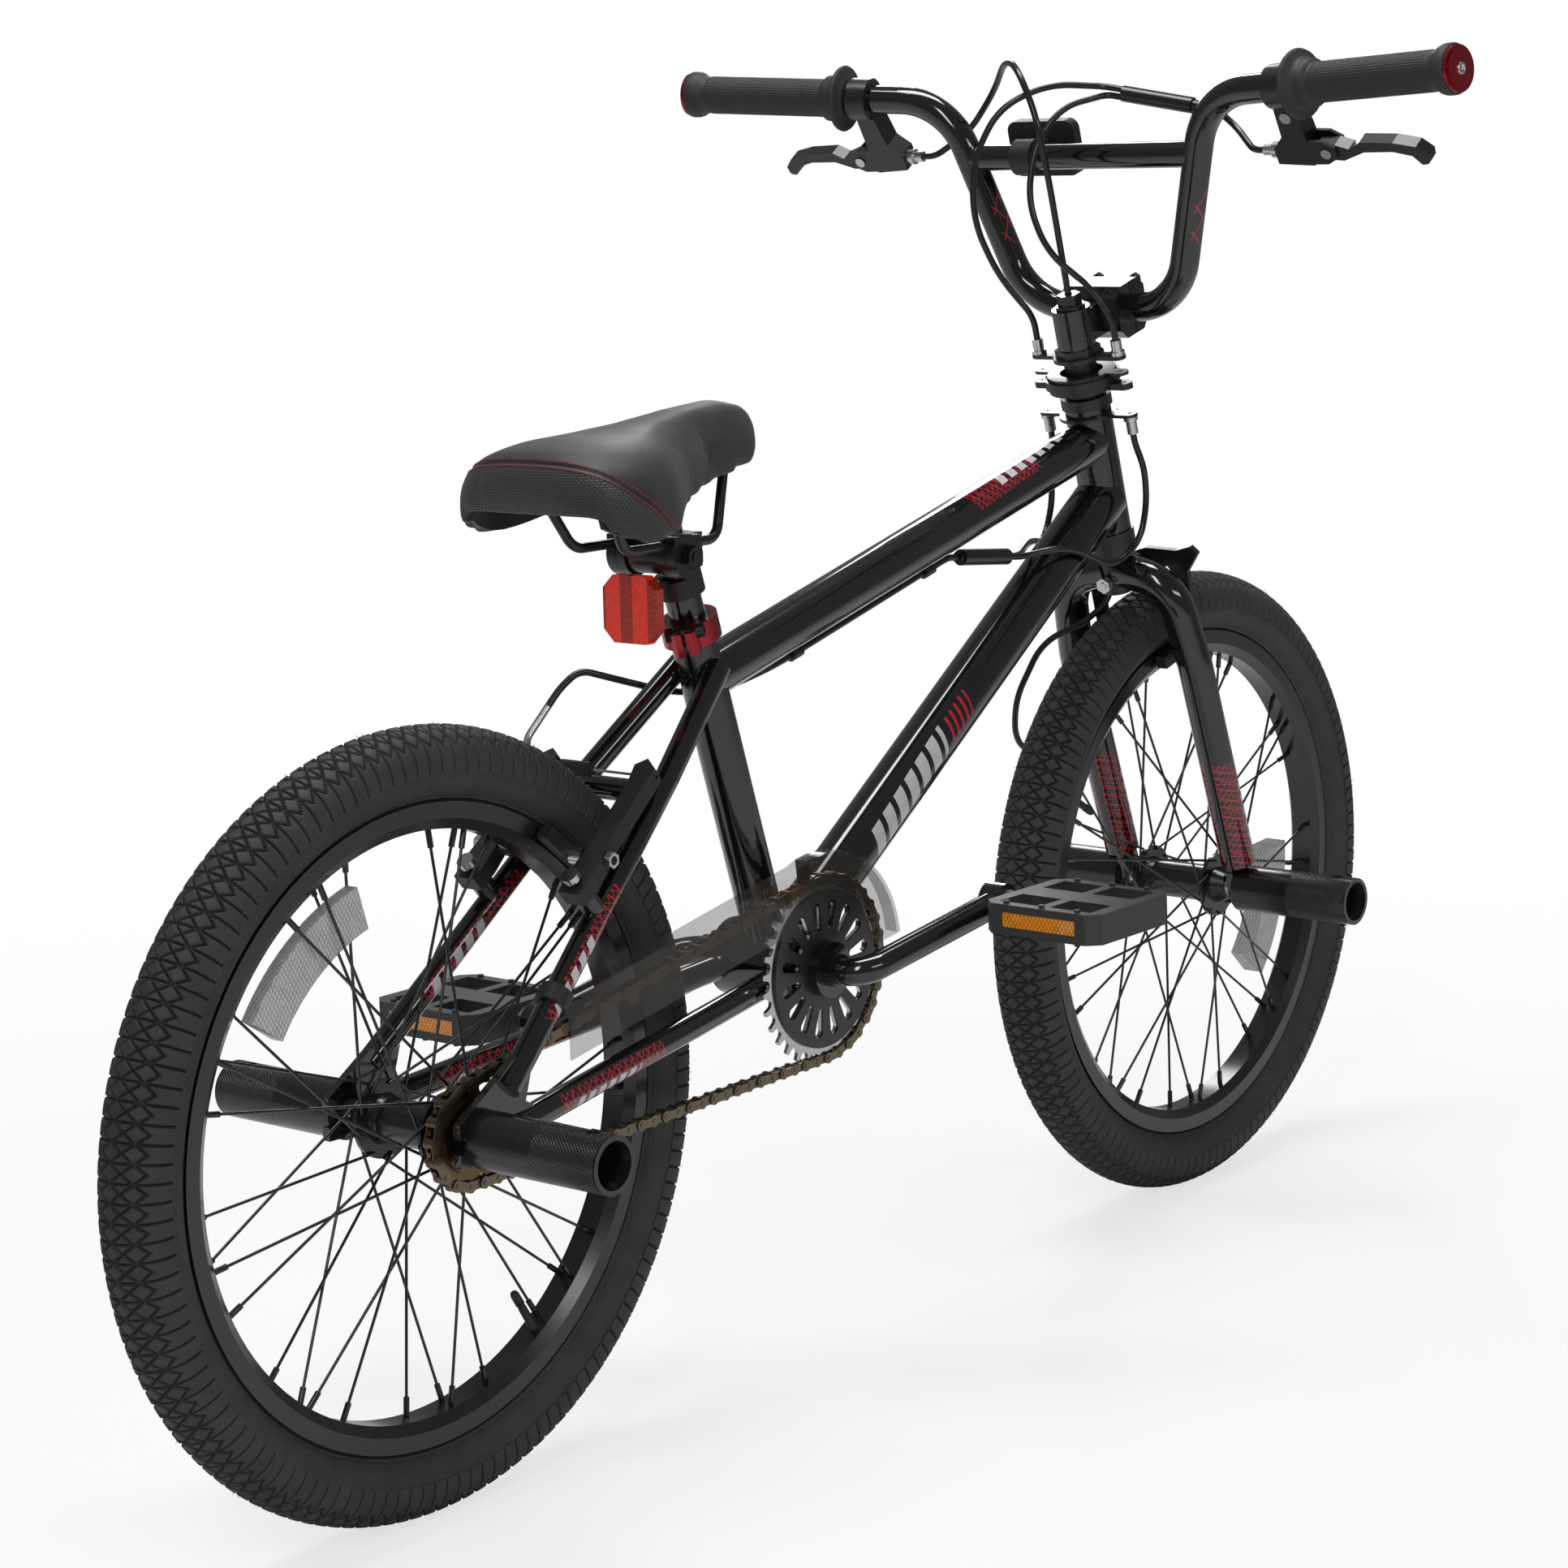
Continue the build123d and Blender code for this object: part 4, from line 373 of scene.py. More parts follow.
def makeLens(name, color, cell, alpha=1.0, glow=0.06, ribs=None):
    # a moulded reflector: small prisms behind a clear face, with painted shade darkening the grooves between
    # the prisms and a painted glow from emission
    tree, shader, place = newMaterial(name)
    local = splitOf(tree, place)
    along = mathOf(tree, "ADD", local["X"], local["Y"])
    prisms = useGroup(tree, crossCells, First=along, Second=local["Z"], Pitch=cell, Lean=0.6)["Height"]
    patches = noiseOf(tree, place, 160.0)
    mixed = times(tree, mathOf(tree, "ADD", prisms, 0.35), mathOf(tree, "ADD", patches, 0.45))
    if ribs:  # upright bands that shine by turns
        # the bands are a painted highlight: alternate bands are darkened in colour and glow
        band = mathOf(tree, "FRACT", mathOf(tree, "DIVIDE", local["Y"], ribs))
        paintedRibHighlight = mathOf(tree, "ADD", mathOf(tree, "GREATER_THAN", band, 0.45), 0.35)
        mixed = times(tree, mixed, paintedRibHighlight)
    # a darker copy of the lens colour is painted shade, laid into the prism grooves
    prismShade = tuple(part * 0.22 for part in color)
    feed(tree, shader.inputs["Base Color"], mixOf(tree, mixed, (*prismShade, 1), (*color, 1)))
    # the emission is a painted glow, brightest on the prism tops, though the reflector is no lamp
    feed(tree, shader.inputs["Emission Color"], mixOf(tree, mixed, (0, 0, 0, 1), (*color, 1)))
    plainly(shader, {"Emission Strength": glow, "Roughness": 0.14, "Coat Weight": 1.0, "Alpha": alpha})
    bumpOf(tree, shader, prisms, 0.5, 0.6)


def makeTyreRubber(name, side=False):
    # dull rubber with painted shade darkening the grooves, whose depth the mesh carries as an attribute
    tree, shader, place = newMaterial(name)
    worn = useGroup(tree, surfaceWear, Vector=place, Roughness=0.62, Drift=0.16,
                    Color=(0.024, 0.025, 0.027, 1), Dust=0.08, Grain=1700.0)
    groove = addNode(tree, "ShaderNodeAttribute", attribute_name="groove").outputs["Fac"]
    # painted shade: the colour darkens towards near black with groove depth
    grooveShade = times(tree, groove, 0.85, clamp=True)
    feed(tree, shader.inputs["Base Color"], mixOf(tree, grooveShade, worn["Color"], (0.006, 0.006, 0.007, 1)))
    feed(tree, shader.inputs["Roughness"], worn["Roughness"])
    bumpOf(tree, shader, worn["Height"], 0.22 if side else 0.12, 0.35)


def makeSaddleSkin():
    # smooth skin in front of the seam, rows of small raised dashes behind it, their tops lightened as a
    # painted highlight
    tree, shader, place = newMaterial("saddleSkin")
    worn = useGroup(tree, surfaceWear, Vector=place, Roughness=0.5, Drift=0.12,
                    Color=(0.017, 0.017, 0.018, 1), Dust=0.03, Grain=1500.0)
    seam = addNode(tree, "ShaderNodeAttribute", attribute_name="seam").outputs["Fac"]
    wrap = splitOf(tree, addNode(tree, "ShaderNodeUVMap", uv_map="wrap").outputs[0])
    dots = useGroup(tree, brickDots, First=wrap["X"], Second=wrap["Y"], Wide=2.7, Tall=1.75)["Height"]
    panel = mathOf(tree, "LESS_THAN", seam, -3.6)
    dashHeightAndHighlight = times(tree, dots, panel)
    # a painted highlight: the dashes' colour lightens with their height
    colour = mixOf(tree, dashHeightAndHighlight, worn["Color"], (0.052, 0.055, 0.06, 1))
    between = mathOf(tree, "LESS_THAN", mathOf(tree, "ABSOLUTE", seam), 0.5)
    feed(tree, shader.inputs["Base Color"], mixOf(tree, between, colour, (0.004, 0.004, 0.004, 1)))
    feed(tree, shader.inputs["Roughness"], worn["Roughness"])
    shader.inputs["Sheen Weight"].default_value = 0.15
    fine = bumpOf(tree, shader, worn["Height"], 0.08, 0.4)
    bumpOf(tree, shader, dashHeightAndHighlight, 0.5, 0.9, fine)


def makeStitchThread():
    tree, shader, place = newMaterial("stitchThread")
    twist = noiseOf(tree, place, 2500.0)
    feed(tree, shader.inputs["Base Color"], mixOf(tree, twist, (0.3, 0.01, 0.02, 1), (0.55, 0.03, 0.05, 1)))
    shader.inputs["Roughness"].default_value = 0.6
    bumpOf(tree, shader, twist, 0.08)


finish("glossBlack", **blackCoat)
finish("topTubeBlack", **blackCoat, marks=topMarks)
finish("downTubeBlack", **blackCoat, marks=downMarks)
finish("seatStayBlack", **blackCoat, marks=stayMarks)
finish("chainStayBlack", **blackCoat, marks=chainMarks)
finish("forkBlack", **blackCoat, marks=legMarks)
finish("barBlack", **blackCoat, marks=riserMarks)
finish("satinBlack", (0.009, 0.009, 0.01), 0.34, coat=0.3, coatRoughness=0.25, bump=0.04)
finish("wheelBlack", (0.008, 0.008, 0.009), 0.26, coat=0.5, coatRoughness=0.14, bump=0.02)
finish("rearPegBlack", **pegCoat, relief=knurlRelief(rearCentre, 0.113, 0.1655))
finish("frontPegBlack", **pegCoat, relief=knurlRelief(frontCentre, 0.108, 0.1605))
finish("brightZinc", (0.62, 0.66, 0.68), 0.22, metallic=1.0, bump=0.03, drift=0.2)
finish("silverAlloy", (0.72, 0.72, 0.73), 0.24, metallic=1.0, bump=0.04)
finish("bareSteel", (0.62, 0.62, 0.64), 0.18, metallic=1.0, brushed=(200, 900, 200))
finish("chainBronze", (0.2, 0.165, 0.12), 0.34, metallic=1.0, drift=0.3, bump=0.05,
       dust=0.05)
finish("freewheelBronze", (0.16, 0.115, 0.06), 0.3, metallic=1.0,
       brushed=(300, 300, 300))
finish("redAnodised", (0.42, 0.008, 0.02), 0.2, metallic=0.85, coat=0.6, bump=0.02)
finish("cableSkin", (0.009, 0.009, 0.01), 0.26, coat=0.3, coatRoughness=0.2, grain=1500,
       bump=0.04)
finish("mouldedBlack", (0.014, 0.014, 0.015), 0.46, grain=1400, bump=0.12, dust=0.03)
finish("pedalGrey", (0.04, 0.042, 0.045), 0.46, grain=1200, bump=0.12, dust=0.04)
finish("gripRubber", (0.024, 0.024, 0.026), 0.58, grain=1600, bump=0.1, dust=0.05)
finish("smokedClear", (0.06, 0.052, 0.042), 0.07, coat=0.3, bump=0.0, alpha=0.33,
       dust=0.0, drift=0.02)
makeLens("amberLens", (0.9, 0.3, 0.01), 3.2 * mm, glow=0.15)
makeLens("redLens", (0.9, 0.035, 0.01), 2.6 * mm, glow=0.3, ribs=24 * mm)
makeLens("clearLens", (0.7, 0.71, 0.72), 3.2 * mm, alpha=0.88)
makeTyreRubber("tyreRubber")
makeTyreRubber("sidewallRubber", side=True)
makeSaddleSkin()
makeStitchThread()


def paint(material, *names):
    for name in names:
        data = nodes[name].data
        data.materials.clear()
        data.materials.append(finishes[material])


def solidsOf(mesh):
    # labels each face with its solid, by merging equal corners and spreading the lowest label
    count = len(mesh.vertices)
    points = np.zeros(count * 3, np.float32)
    mesh.vertices.foreach_get("co", points)
    corners = np.zeros(len(mesh.loops), np.int32)
    mesh.loops.foreach_get("vertex_index", corners)
    points = points.reshape(-1, 3)
    merged = np.unique(np.round(points * 2e5).astype(np.int64), axis=0, return_inverse=True)[1].ravel()
    faces = merged[corners].reshape(-1, 3)
    label = np.arange(merged.max() + 1)
    while True:
        lowest = label[faces].min(1)
        spread = label.copy()
        for corner in range(3):
            np.minimum.at(spread, faces[:, corner], lowest)
        spread = spread[spread]
        if (spread == label).all():
            break
        label = spread
    return points[corners].reshape(-1, 3, 3), label[faces[:, 0]]


def paintSolids(name, choose, *materials):
    # gives each solid of a node one of several finishes; choose gets its lowest and highest corner
    mesh = nodes[name].data
    triangles, label = solidsOf(mesh)
    picks = np.zeros(len(label), np.int32)
    for solid in np.unique(label):
        mine = label == solid
        corners = triangles[mine].reshape(-1, 3)
        picks[mine] = choose(corners.min(0), corners.max(0))
    mesh.materials.clear()
    for material in materials:
        mesh.materials.append(finishes[material])
    mesh.polygons.foreach_set("material_index", picks)


paint("glossBlack", "head_tube", "seat_tube", "bottom_bracket_shell", "seat_post", "stem")
paint("topTubeBlack", "top_tube")
paint("downTubeBlack", "down_tube")
paint("seatStayBlack", "seat_stays")
paint("chainStayBlack", "chain_stays")
paint("forkBlack", "fork_legs")
paint("barBlack", "handlebar")
paint("satinBlack", "saddle_rails", "bearing_cups", "chainring_face", "left_brake_lever", "right_brake_lever",
      "front_left_brake_arm", "front_right_brake_arm", "gyro_upper_ring", "gyro_lower_ring")
paint("wheelBlack", "rear_hub", "front_hub", "rear_rim", "front_rim")
paint("rearPegBlack", "rear_pegs")
paint("frontPegBlack", "front_pegs")
paint("brightZinc", "rear_axle", "front_axle", "brake_bolts", "brake_wire")
paint("bareSteel", "chainring")
paint("chainBronze", "chain")
paint("freewheelBronze", "freewheel")
paint("redAnodised", "bar_plugs")
paint("cableSkin", "rear_brake_cable", "upper_cables", "front_brake_cable")
paint("mouldedBlack", "saddle_base")


def longest(low, high):
    return max(high - low)


def byLength(limit):
    # the first finish for solids longer than a limit in metres, the second for the others
    return lambda low, high: 0 if longest(low, high) > limit else 1


def isWheelReflector(low, high):
    size = high - low
    return size[1] < 0.02 and longest(low, high) > 0.06 and sorted(size)[1] > 0.02


def leverFinish(low, high):
    size = high - low
    if longest(low, high) > 0.04:
        return 0  # the bracket
    barrel = longest(low, high) > 0.0135 and size[1] > 0.0125 and size[2] < 0.016
    return 2 if barrel else 1


paintSolids("chain_guard", byLength(0.3), "smokedClear", "mouldedBlack")
for wheelName in ("rear", "front"):
    paintSolids(wheelName + "_spokes", isWheelReflector, "wheelBlack", "clearLens")
paintSolids("rear_reflector", lambda low, high: 0 if (high - low)[0] < 0.02 else 1, "redLens", "mouldedBlack")
faceNormals = np.zeros(len(nodes["front_reflector"].data.polygons) * 3, np.float32)
nodes["front_reflector"].data.polygons.foreach_get("normal", faceNormals)
paint("mouldedBlack", "front_reflector")
nodes["front_reflector"].data.materials.append(finishes["clearLens"])
aheadFacing = (faceNormals.reshape(-1, 3) @ foreAxis > 0.8).astype(np.int32)
nodes["front_reflector"].data.polygons.foreach_set("material_index", aheadFacing)
for pedalName in ("left_pedal", "right_pedal"):
    paintSolids(pedalName, byLength(0.075), "pedalGrey", "amberLens")
paintSolids("lever_brackets", leverFinish, "satinBlack", "brightZinc", "silverAlloy")
paintSolids("rail_clamp", lambda low, high: 1 if (high - low)[1] > 0.06 else 0, "satinBlack", "glossBlack")
paintSolids("seat_clamp", byLength(0.035), "redAnodised", "satinBlack")
paintSolids("stem_faceplate", byLength(0.03), "satinBlack", "mouldedBlack")
paintSolids("fork_steerer", lambda low, high: 0.05 < longest(low, high) < 0.1, "satinBlack", "brightZinc")
paintSolids("crank", lambda low, high: 0.07 <= longest(low, high) <= 0.12, "glossBlack", "brightZinc")
for plateName in ("gyro_upper_plate", "gyro_lower_plate"):
    paintSolids(plateName, byLength(0.03), "satinBlack", "silverAlloy")


def armFinish(low, high):
    size = high - low
    if longest(low, high) > 0.1:
        return 0
    if size[0] > 0.035 and size[2] > 0.02:
        return 1  # the pad and its post
    if low[1] > 0.0 and size[1] > 0.03 and longest(low, high) < 0.07:
        return 3  # the guide tube
    return 2 if longest(low, high) < 0.02 else 1


for armName in ("rear_left_brake_arm", "rear_right_brake_arm"):
    paintSolids(armName, armFinish, "satinBlack", "mouldedBlack", "brightZinc", "silverAlloy")
print("finishes set:", len(finishes))


def makePiece(name, points, faces, material, body, smooth=True, recalc=True):
    # a mesh from whole arrays of corners and faces, with its faces turned outwards
    mesh = bpy.data.meshes.new(name)
    count, sides = faces.shape
    mesh.vertices.add(len(points))
    mesh.vertices.foreach_set("co", np.asarray(points, np.float32).ravel())
    mesh.loops.add(count * sides)
    mesh.loops.foreach_set("vertex_index", faces.ravel().astype(np.int32))
    mesh.polygons.add(count)
    mesh.polygons.foreach_set("loop_start", np.arange(0, count * sides, sides, dtype=np.int32))
    mesh.update(calc_edges=True)
    if recalc:
        held = bmesh.new()
        held.from_mesh(mesh)
        bmesh.ops.recalc_face_normals(held, faces=held.faces)
        held.to_mesh(mesh)
        held.free()
    mesh.polygons.foreach_set("use_smooth", np.full(count, smooth))
    mesh.materials.append(finishes[material])
    piece = bpy.data.objects.new(name, mesh)
    bpy.context.scene.collection.objects.link(piece)
    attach(piece, body)
    return piece


def gridFaces(rows, columns, wrapRows=False, wrapColumns=False):
    # the four-cornered faces between neighbouring points of a grid
    row, column = np.meshgrid(np.arange(rows - (not wrapRows)), np.arange(columns - (not wrapColumns)),
                              indexing="ij")
    nextRow, nextColumn = (row + 1) % rows, (column + 1) % columns
    return np.stack((row * columns + column, nextRow * columns + column, nextRow * columns + nextColumn,
                     row * columns + nextColumn), -1).reshape(-1, 4)


def turned(profile, start, axis, segments, ripple=None):
    # a profile of (along, radius) in millimetres carried round an axis, closed at its ends on the axis
    axis = np.asarray(axis, float) / np.linalg.norm(axis)
    side = np.cross(axis, (0.3, 0.1, 1.0))
    side /= np.linalg.norm(side)
    upward = np.cross(axis, side)
    angle = np.arange(segments) * turn / segments
    along, radius = np.asarray(profile, float).T
    radius = np.repeat(radius[:, None], segments, 1)
    if ripple is not None:
        radius = radius + ripple(np.repeat(along[:, None], segments, 1),
                                 np.repeat(angle[None, :], len(along), 0))
    ringWay = np.cos(angle)[:, None] * side + np.sin(angle)[:, None] * upward
    points = start + (along[:, None, None] * axis + radius[:, :, None] * ringWay[None]) * mm
    return points.reshape(-1, 3), gridFaces(len(along), segments, wrapColumns=True)


tyre = {"middle": 232.0, "section": 25.0, "cells": 132, "steps": 10, "rows": 26, "blockDepth": 16.5,
        "groove": 1.5, "grooveHalf": 1.15, "shoulder": 1.5, "sideDrop": 0.7, "skirt": 3.0,
        "rings": [(104, 0.45, 1.1), (109, 0.25, 0.8), (131, 0.3, 0.9), (137, 0.3, 0.9), (147, 0.6, 1.6)],
        "beadAngle": 154, "beadRadius": 205.6, "beadSide": 11.7, "sideSteps": 264}


def treadGroove(cell, block):
    # how much of a groove each point holds: grooves run across wherever the cell count is whole, and
    # slantwise wherever cell + block or cell - block is whole, up to the shoulder
    pitch = turn * (tyre["middle"] + tyre["section"]) / tyre["cells"]
    slant = pitch * tyre["blockDepth"] / math.hypot(pitch, tyre["blockDepth"])

    def near(value, scale):
        return np.clip(1 - np.abs(value - np.round(value)) * scale / tyre["grooveHalf"], 0, 1)

    inner = np.abs(block) <= tyre["shoulder"] + 0.01
    slanted = np.maximum(near(cell + block, slant), near(cell - block, slant)) * inner
    return np.maximum(near(cell, pitch), slanted)


def ringPoint(centre, angle, radius, side):
    # points round a wheel, from millimetres of radius and side
    return np.stack((centre[0] + radius * np.cos(angle) * mm, centre[1] + side * mm,
                     centre[2] + radius * np.sin(angle) * mm), -1)


def makeTread(name, centre, body):
    columns = tyre["cells"] * tyre["steps"]
    rows = np.arange(-tyre["rows"], tyre["rows"] + 1) / tyre["steps"]
    cell, block = np.meshgrid(np.arange(columns) / tyre["steps"], rows, indexing="ij")
    groove = treadGroove(cell, block)
    skirt = np.zeros((columns, 1))  # an edge row tucked under the sidewall on each side
    cell = np.hstack((cell[:, :1], cell, cell[:, :1]))
    block = np.hstack((block[:, :1] - 0.02, block, block[:, -1:] + 0.02))
    groove = np.hstack((skirt, groove, skirt))
    depth = groove * tyre["groove"]
    depth[:, 0] = depth[:, -1] = tyre["skirt"]
    lean = block * tyre["blockDepth"] / tyre["section"]
    reach = tyre["section"] - depth
    points = ringPoint(centre, cell * turn / tyre["cells"], tyre["middle"] + reach * np.cos(lean),
                       reach * np.sin(lean))
    faces = gridFaces(columns, block.shape[1], wrapRows=True)
    flat = depth.ravel()
    valley = (flat[faces[:, 0]] + flat[faces[:, 2]]) > (flat[faces[:, 1]] + flat[faces[:, 3]])
    first = np.where(valley[:, None], faces[:, [0, 1, 2]], faces[:, [0, 1, 3]])
    second = np.where(valley[:, None], faces[:, [0, 2, 3]], faces[:, [1, 2, 3]])
    piece = makePiece(name, points.reshape(-1, 3), np.vstack((first, second)), "tyreRubber", body,
                      smooth=False)
    carried = piece.data.attributes.new("groove", "FLOAT", "POINT")
    carried.data.foreach_set("value", groove.astype(np.float32).ravel())
    return piece


def makeSidewalls(name, centre, body):
    # a section arc carried round the wheel, with thin raised rings, down to the bead inside the rim
    edge = tyre["rows"] / tyre["steps"] * tyre["blockDepth"] / tyre["section"]
    lean = np.linspace(edge - 0.03, math.radians(tyre["beadAngle"]), 60)
    reach = np.full_like(lean, tyre["section"] - tyre["sideDrop"])
    for place, height, width in tyre["rings"]:
        reach += height * np.exp(-((np.degrees(lean) - place) / width) ** 2)
    radius = np.append(tyre["middle"] + reach * np.cos(lean), tyre["beadRadius"])
    side = np.append(reach * np.sin(lean), tyre["beadSide"])
    angle = np.arange(tyre["sideSteps"]) * turn / tyre["sideSteps"]
    parts, faces, offset = [], [], 0
    for way in (-1, 1):
        around, row = np.meshgrid(angle, np.arange(len(radius)), indexing="ij")
        points = ringPoint(centre, around, radius[row], way * side[row]).reshape(-1, 3)
        parts.append(points)
        faces.append(gridFaces(len(angle), len(radius), wrapRows=True)[:, ::way] + offset)
        offset += len(points)
    piece = makePiece(name, np.vstack(parts), np.vstack(faces), "sidewallRubber", body, recalc=False)
    return piece


hairs = {"count": 230, "length": 2.6, "radius": 0.32}


def makeHairs(name, centre, body):
    # thin three-sided spikes left by the mould, spread by a golden-angle walk over the tread's blocks
    index = np.arange(hairs["count"])
    angle = index * 2.39996
    block = np.choose(index % 6, (-2.35, -0.62, 0.5, 2.35, -1.6, 1.7))
    lean = block * tyre["blockDepth"] / tyre["section"]
    keep = np.sin(angle) > -0.97
    angle, lean = angle[keep], lean[keep]
    base, tip = tyre["section"] - 0.3, tyre["section"] + hairs["length"]
    spread = hairs["radius"] / tyre["section"]
    turnSpread = hairs["radius"] / (tyre["middle"] + tyre["section"])
    rings = []
    for corner in range(3):
        swing = corner * turn / 3
        leaned, turnedBy = lean + spread * math.cos(swing), angle + turnSpread * math.sin(swing)
        rings.append(ringPoint(centre, turnedBy, tyre["middle"] + base * np.cos(leaned),
                               base * np.sin(leaned)))
    rings.append(ringPoint(centre, angle + 0.004, tyre["middle"] + tip * np.cos(lean), tip * np.sin(lean)))
    points = np.stack(rings, 1).reshape(-1, 3)
    spike = np.array([(0, 1, 3), (1, 2, 3), (2, 0, 3), (0, 2, 1)])
    faces = (spike[None] + (np.arange(len(angle)) * 4)[:, None, None]).reshape(-1, 3)
    piece = makePiece(name, points, faces, "sidewallRubber", body, smooth=False)
    return piece


valve = {"low": 158.0, "high": 192.5}


def makeValve(name, centre, angle, body):
    # a rubber stem with a cap, from the rim towards the hub
    away = np.array([math.cos(angle), 0.0, math.sin(angle)])
    start = np.asarray(centre) + away * valve["high"] * mm
    long = valve["high"] - valve["low"]
    profile = [(0, 0), (0, 4.2), (1.5, 4.2), (2.5, 3.1), (long - 14, 2.9), (long - 13, 2.3),
               (long - 11.5, 2.3), (long - 11, 3.2), (long - 2, 3.1), (long, 2.4), (long, 0)]
    points, faces = turned(profile, start, -away, 36)
    piece = makePiece(name, points, faces, "mouldedBlack", body)
    return piece


for wheelName, wheelCentre, valveAngle in (("rear", rearCentre, math.radians(-58)),
                                           ("front", frontCentre, math.radians(150))):
    wheelBody = wheelName + "_wheel"
    tread = makeTread(wheelName + "Tread", wheelCentre, wheelBody)
    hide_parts(wheelName + "_tyre")
    makeSidewalls(wheelName + "Sidewalls", wheelCentre, wheelBody)
    makeHairs(wheelName + "MouldHairs", wheelCentre, wheelBody)
    makeValve(wheelName + "Valve", wheelCentre, valveAngle, wheelBody)
print("tyres made")

grip = {"start": 204.0, "end": 348.0, "radius": 14.8, "flange": 26.0, "bell": 18.4, "dots": 42, "pitch": 2.15,
        "dotHeight": 0.55, "patternStart": 24.0, "patternEnd": 19.0}


def barPoint(side):
    # a point on the handlebar's grip run, at a distance from the middle
    share = (abs(side) - 119) / (348 - 119)
    return steer(183 + 167 + 21 * share, 49 - 32 * share, side)


def makeGrip(name, way):
    # a turned sleeve with a flange and an end bell; between them small pyramids stand in rows
    start, end = barPoint(way * grip["start"]), barPoint(way * grip["end"])
    long = np.linalg.norm(end - start) / mm
    low, high = grip["patternStart"], long - grip["patternEnd"]
    steps = int((high - low) / grip["pitch"]) * 4
    flange, bell = grip["flange"], grip["bell"]
    head = [(0, 11.2), (0, 16.2), (0.8, 17), (2.6, flange - 3), (3.6, flange - 0.8), (5, flange),
            (6.6, flange - 0.6), (7.8, flange - 2.4), (9.4, 20.5), (11.5, 18.6), (14, 18.2), (18, 18.0),
            (19.2, 17.4), (20.4, 15.6),
            (21.4, grip["radius"]), (22.8, grip["radius"] - 0.1)]
    tail = [(long - 18, grip["radius"] - 0.2), (long - 16.5, grip["radius"] - 0.4), (long - 13, 15.6),
            (long - 10, bell - 1), (long - 7.5, bell - 0.2), (long - 5, bell), (long - 1.6, bell - 0.1),
            (long - 0.4, bell - 0.7), (long, 16.8), (long, 11.2)]
    middle = [(place, grip["radius"] - 0.25) for place in np.linspace(low, high, steps + 1)]

    def pyramids(along, angle):
        inside = (along >= low) & (along <= high)
        across = np.abs(((along - low) / grip["pitch"] + 0.5) % 1 - 0.5) * 2
        around = np.abs((angle * grip["dots"] / turn) % 1 - 0.5) * 2
        return inside * grip["dotHeight"] * np.clip(1.35 - 1.35 * np.maximum(1 - across, around), 0, 1)

    points, faces = turned(head + middle + tail, start, end - start, grip["dots"] * 4, pyramids)
    piece = makePiece(name, points, faces, "gripRubber", "fork")
    return piece


for sideName, sideWay in (("left", 1), ("right", -1)):
    sleeve = makeGrip(sideName + "Grip", sideWay)
    if sideWay > 0:
        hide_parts("grips")
    plugEnd = barPoint(sideWay * 348.0)
    plugAxis = plugEnd - barPoint(sideWay * 300.0)
    screw = makePiece(sideName + "PlugScrew", *turned(
        [(3.4, 0), (3.4, 4.4), (4.4, 4.4), (4.9, 3.9), (4.9, 2.1), (3.9, 2.0), (3.9, 0)],
        plugEnd, plugAxis, 30),
        "silverAlloy", "fork")
print("grips made")

saddle = {
    "ahead": [118, 124, 132, 160, 195, 230, 270, 312, 338, 350],
    "half": [50, 62, 70, 77, 70, 48, 31, 26, 21, 12],
    "top": [664, 671, 675, 680, 682, 686, 692, 696, 692, 682],
    "bottom": [640, 631, 622, 613, 618, 632, 641, 647, 652, 660],
    "wall": 9.0, "crownWall": 11.5, "endWall": 9.0, "endRound": 13.0, "noseRound": 16.0,
    "voxel": 4.4, "pressure": 4.0, "frames": 16, "cap": 1.5,
    "seamStart": 123.0, "seamHeight": 670.0, "seamSlope": 1.35, "tuckDepth": 0.75, "tuckWidth": 1.3,
    "stitchGap": 2.4, "stitchPitch": 3.3, "stitchLength": 2.3, "stitchRadius": 0.34,
    "sideCurve": 0.75, "topCurve": 0.62, "outerShare": 0.72, "wrapCentre": 178, "wrapRadius": 62,
}


def smoothly(place, values):
    # a table of stations read through a small bell of neighbouring places, so that it has no corners
    total = np.zeros_like(place)
    offsets = np.linspace(-8, 8, 9)
    weights = np.exp(-(offsets / 5) ** 2)
    for offset, weight in zip(offsets, weights / weights.sum()):
        total += weight * np.interp(place + offset, saddle["ahead"], values)
    return total


def saddleForm(place):
    # half width, top and bottom at each place, rounded off to a point at both ends
    first, last = saddle["ahead"][0], saddle["ahead"][-1]
    back = np.sqrt(np.clip(1 - (1 - np.clip((place - first) / saddle["endRound"], 0, 1)) ** 2, 0, 1))
    nose = np.sqrt(np.clip(1 - (1 - np.clip((last - place) / saddle["noseRound"], 0, 1)) ** 2, 0, 1))
    end = back * nose
    top, bottom = smoothly(place, saddle["top"]), smoothly(place, saddle["bottom"])
    middle = bottom * 0.35 + top * 0.65
    half = smoothly(place, saddle["half"]) * end
    return half, middle + (top - middle) * end, middle + (bottom - middle) * end


def seamPlace(x, z):
    # millimetres ahead of the seam, which lies on a plane tilted from the rear edge forwards down the wings
    slope = saddle["seamSlope"]
    return (x - saddle["seamStart"] - slope * (saddle["seamHeight"] - z)) / math.hypot(1, slope)


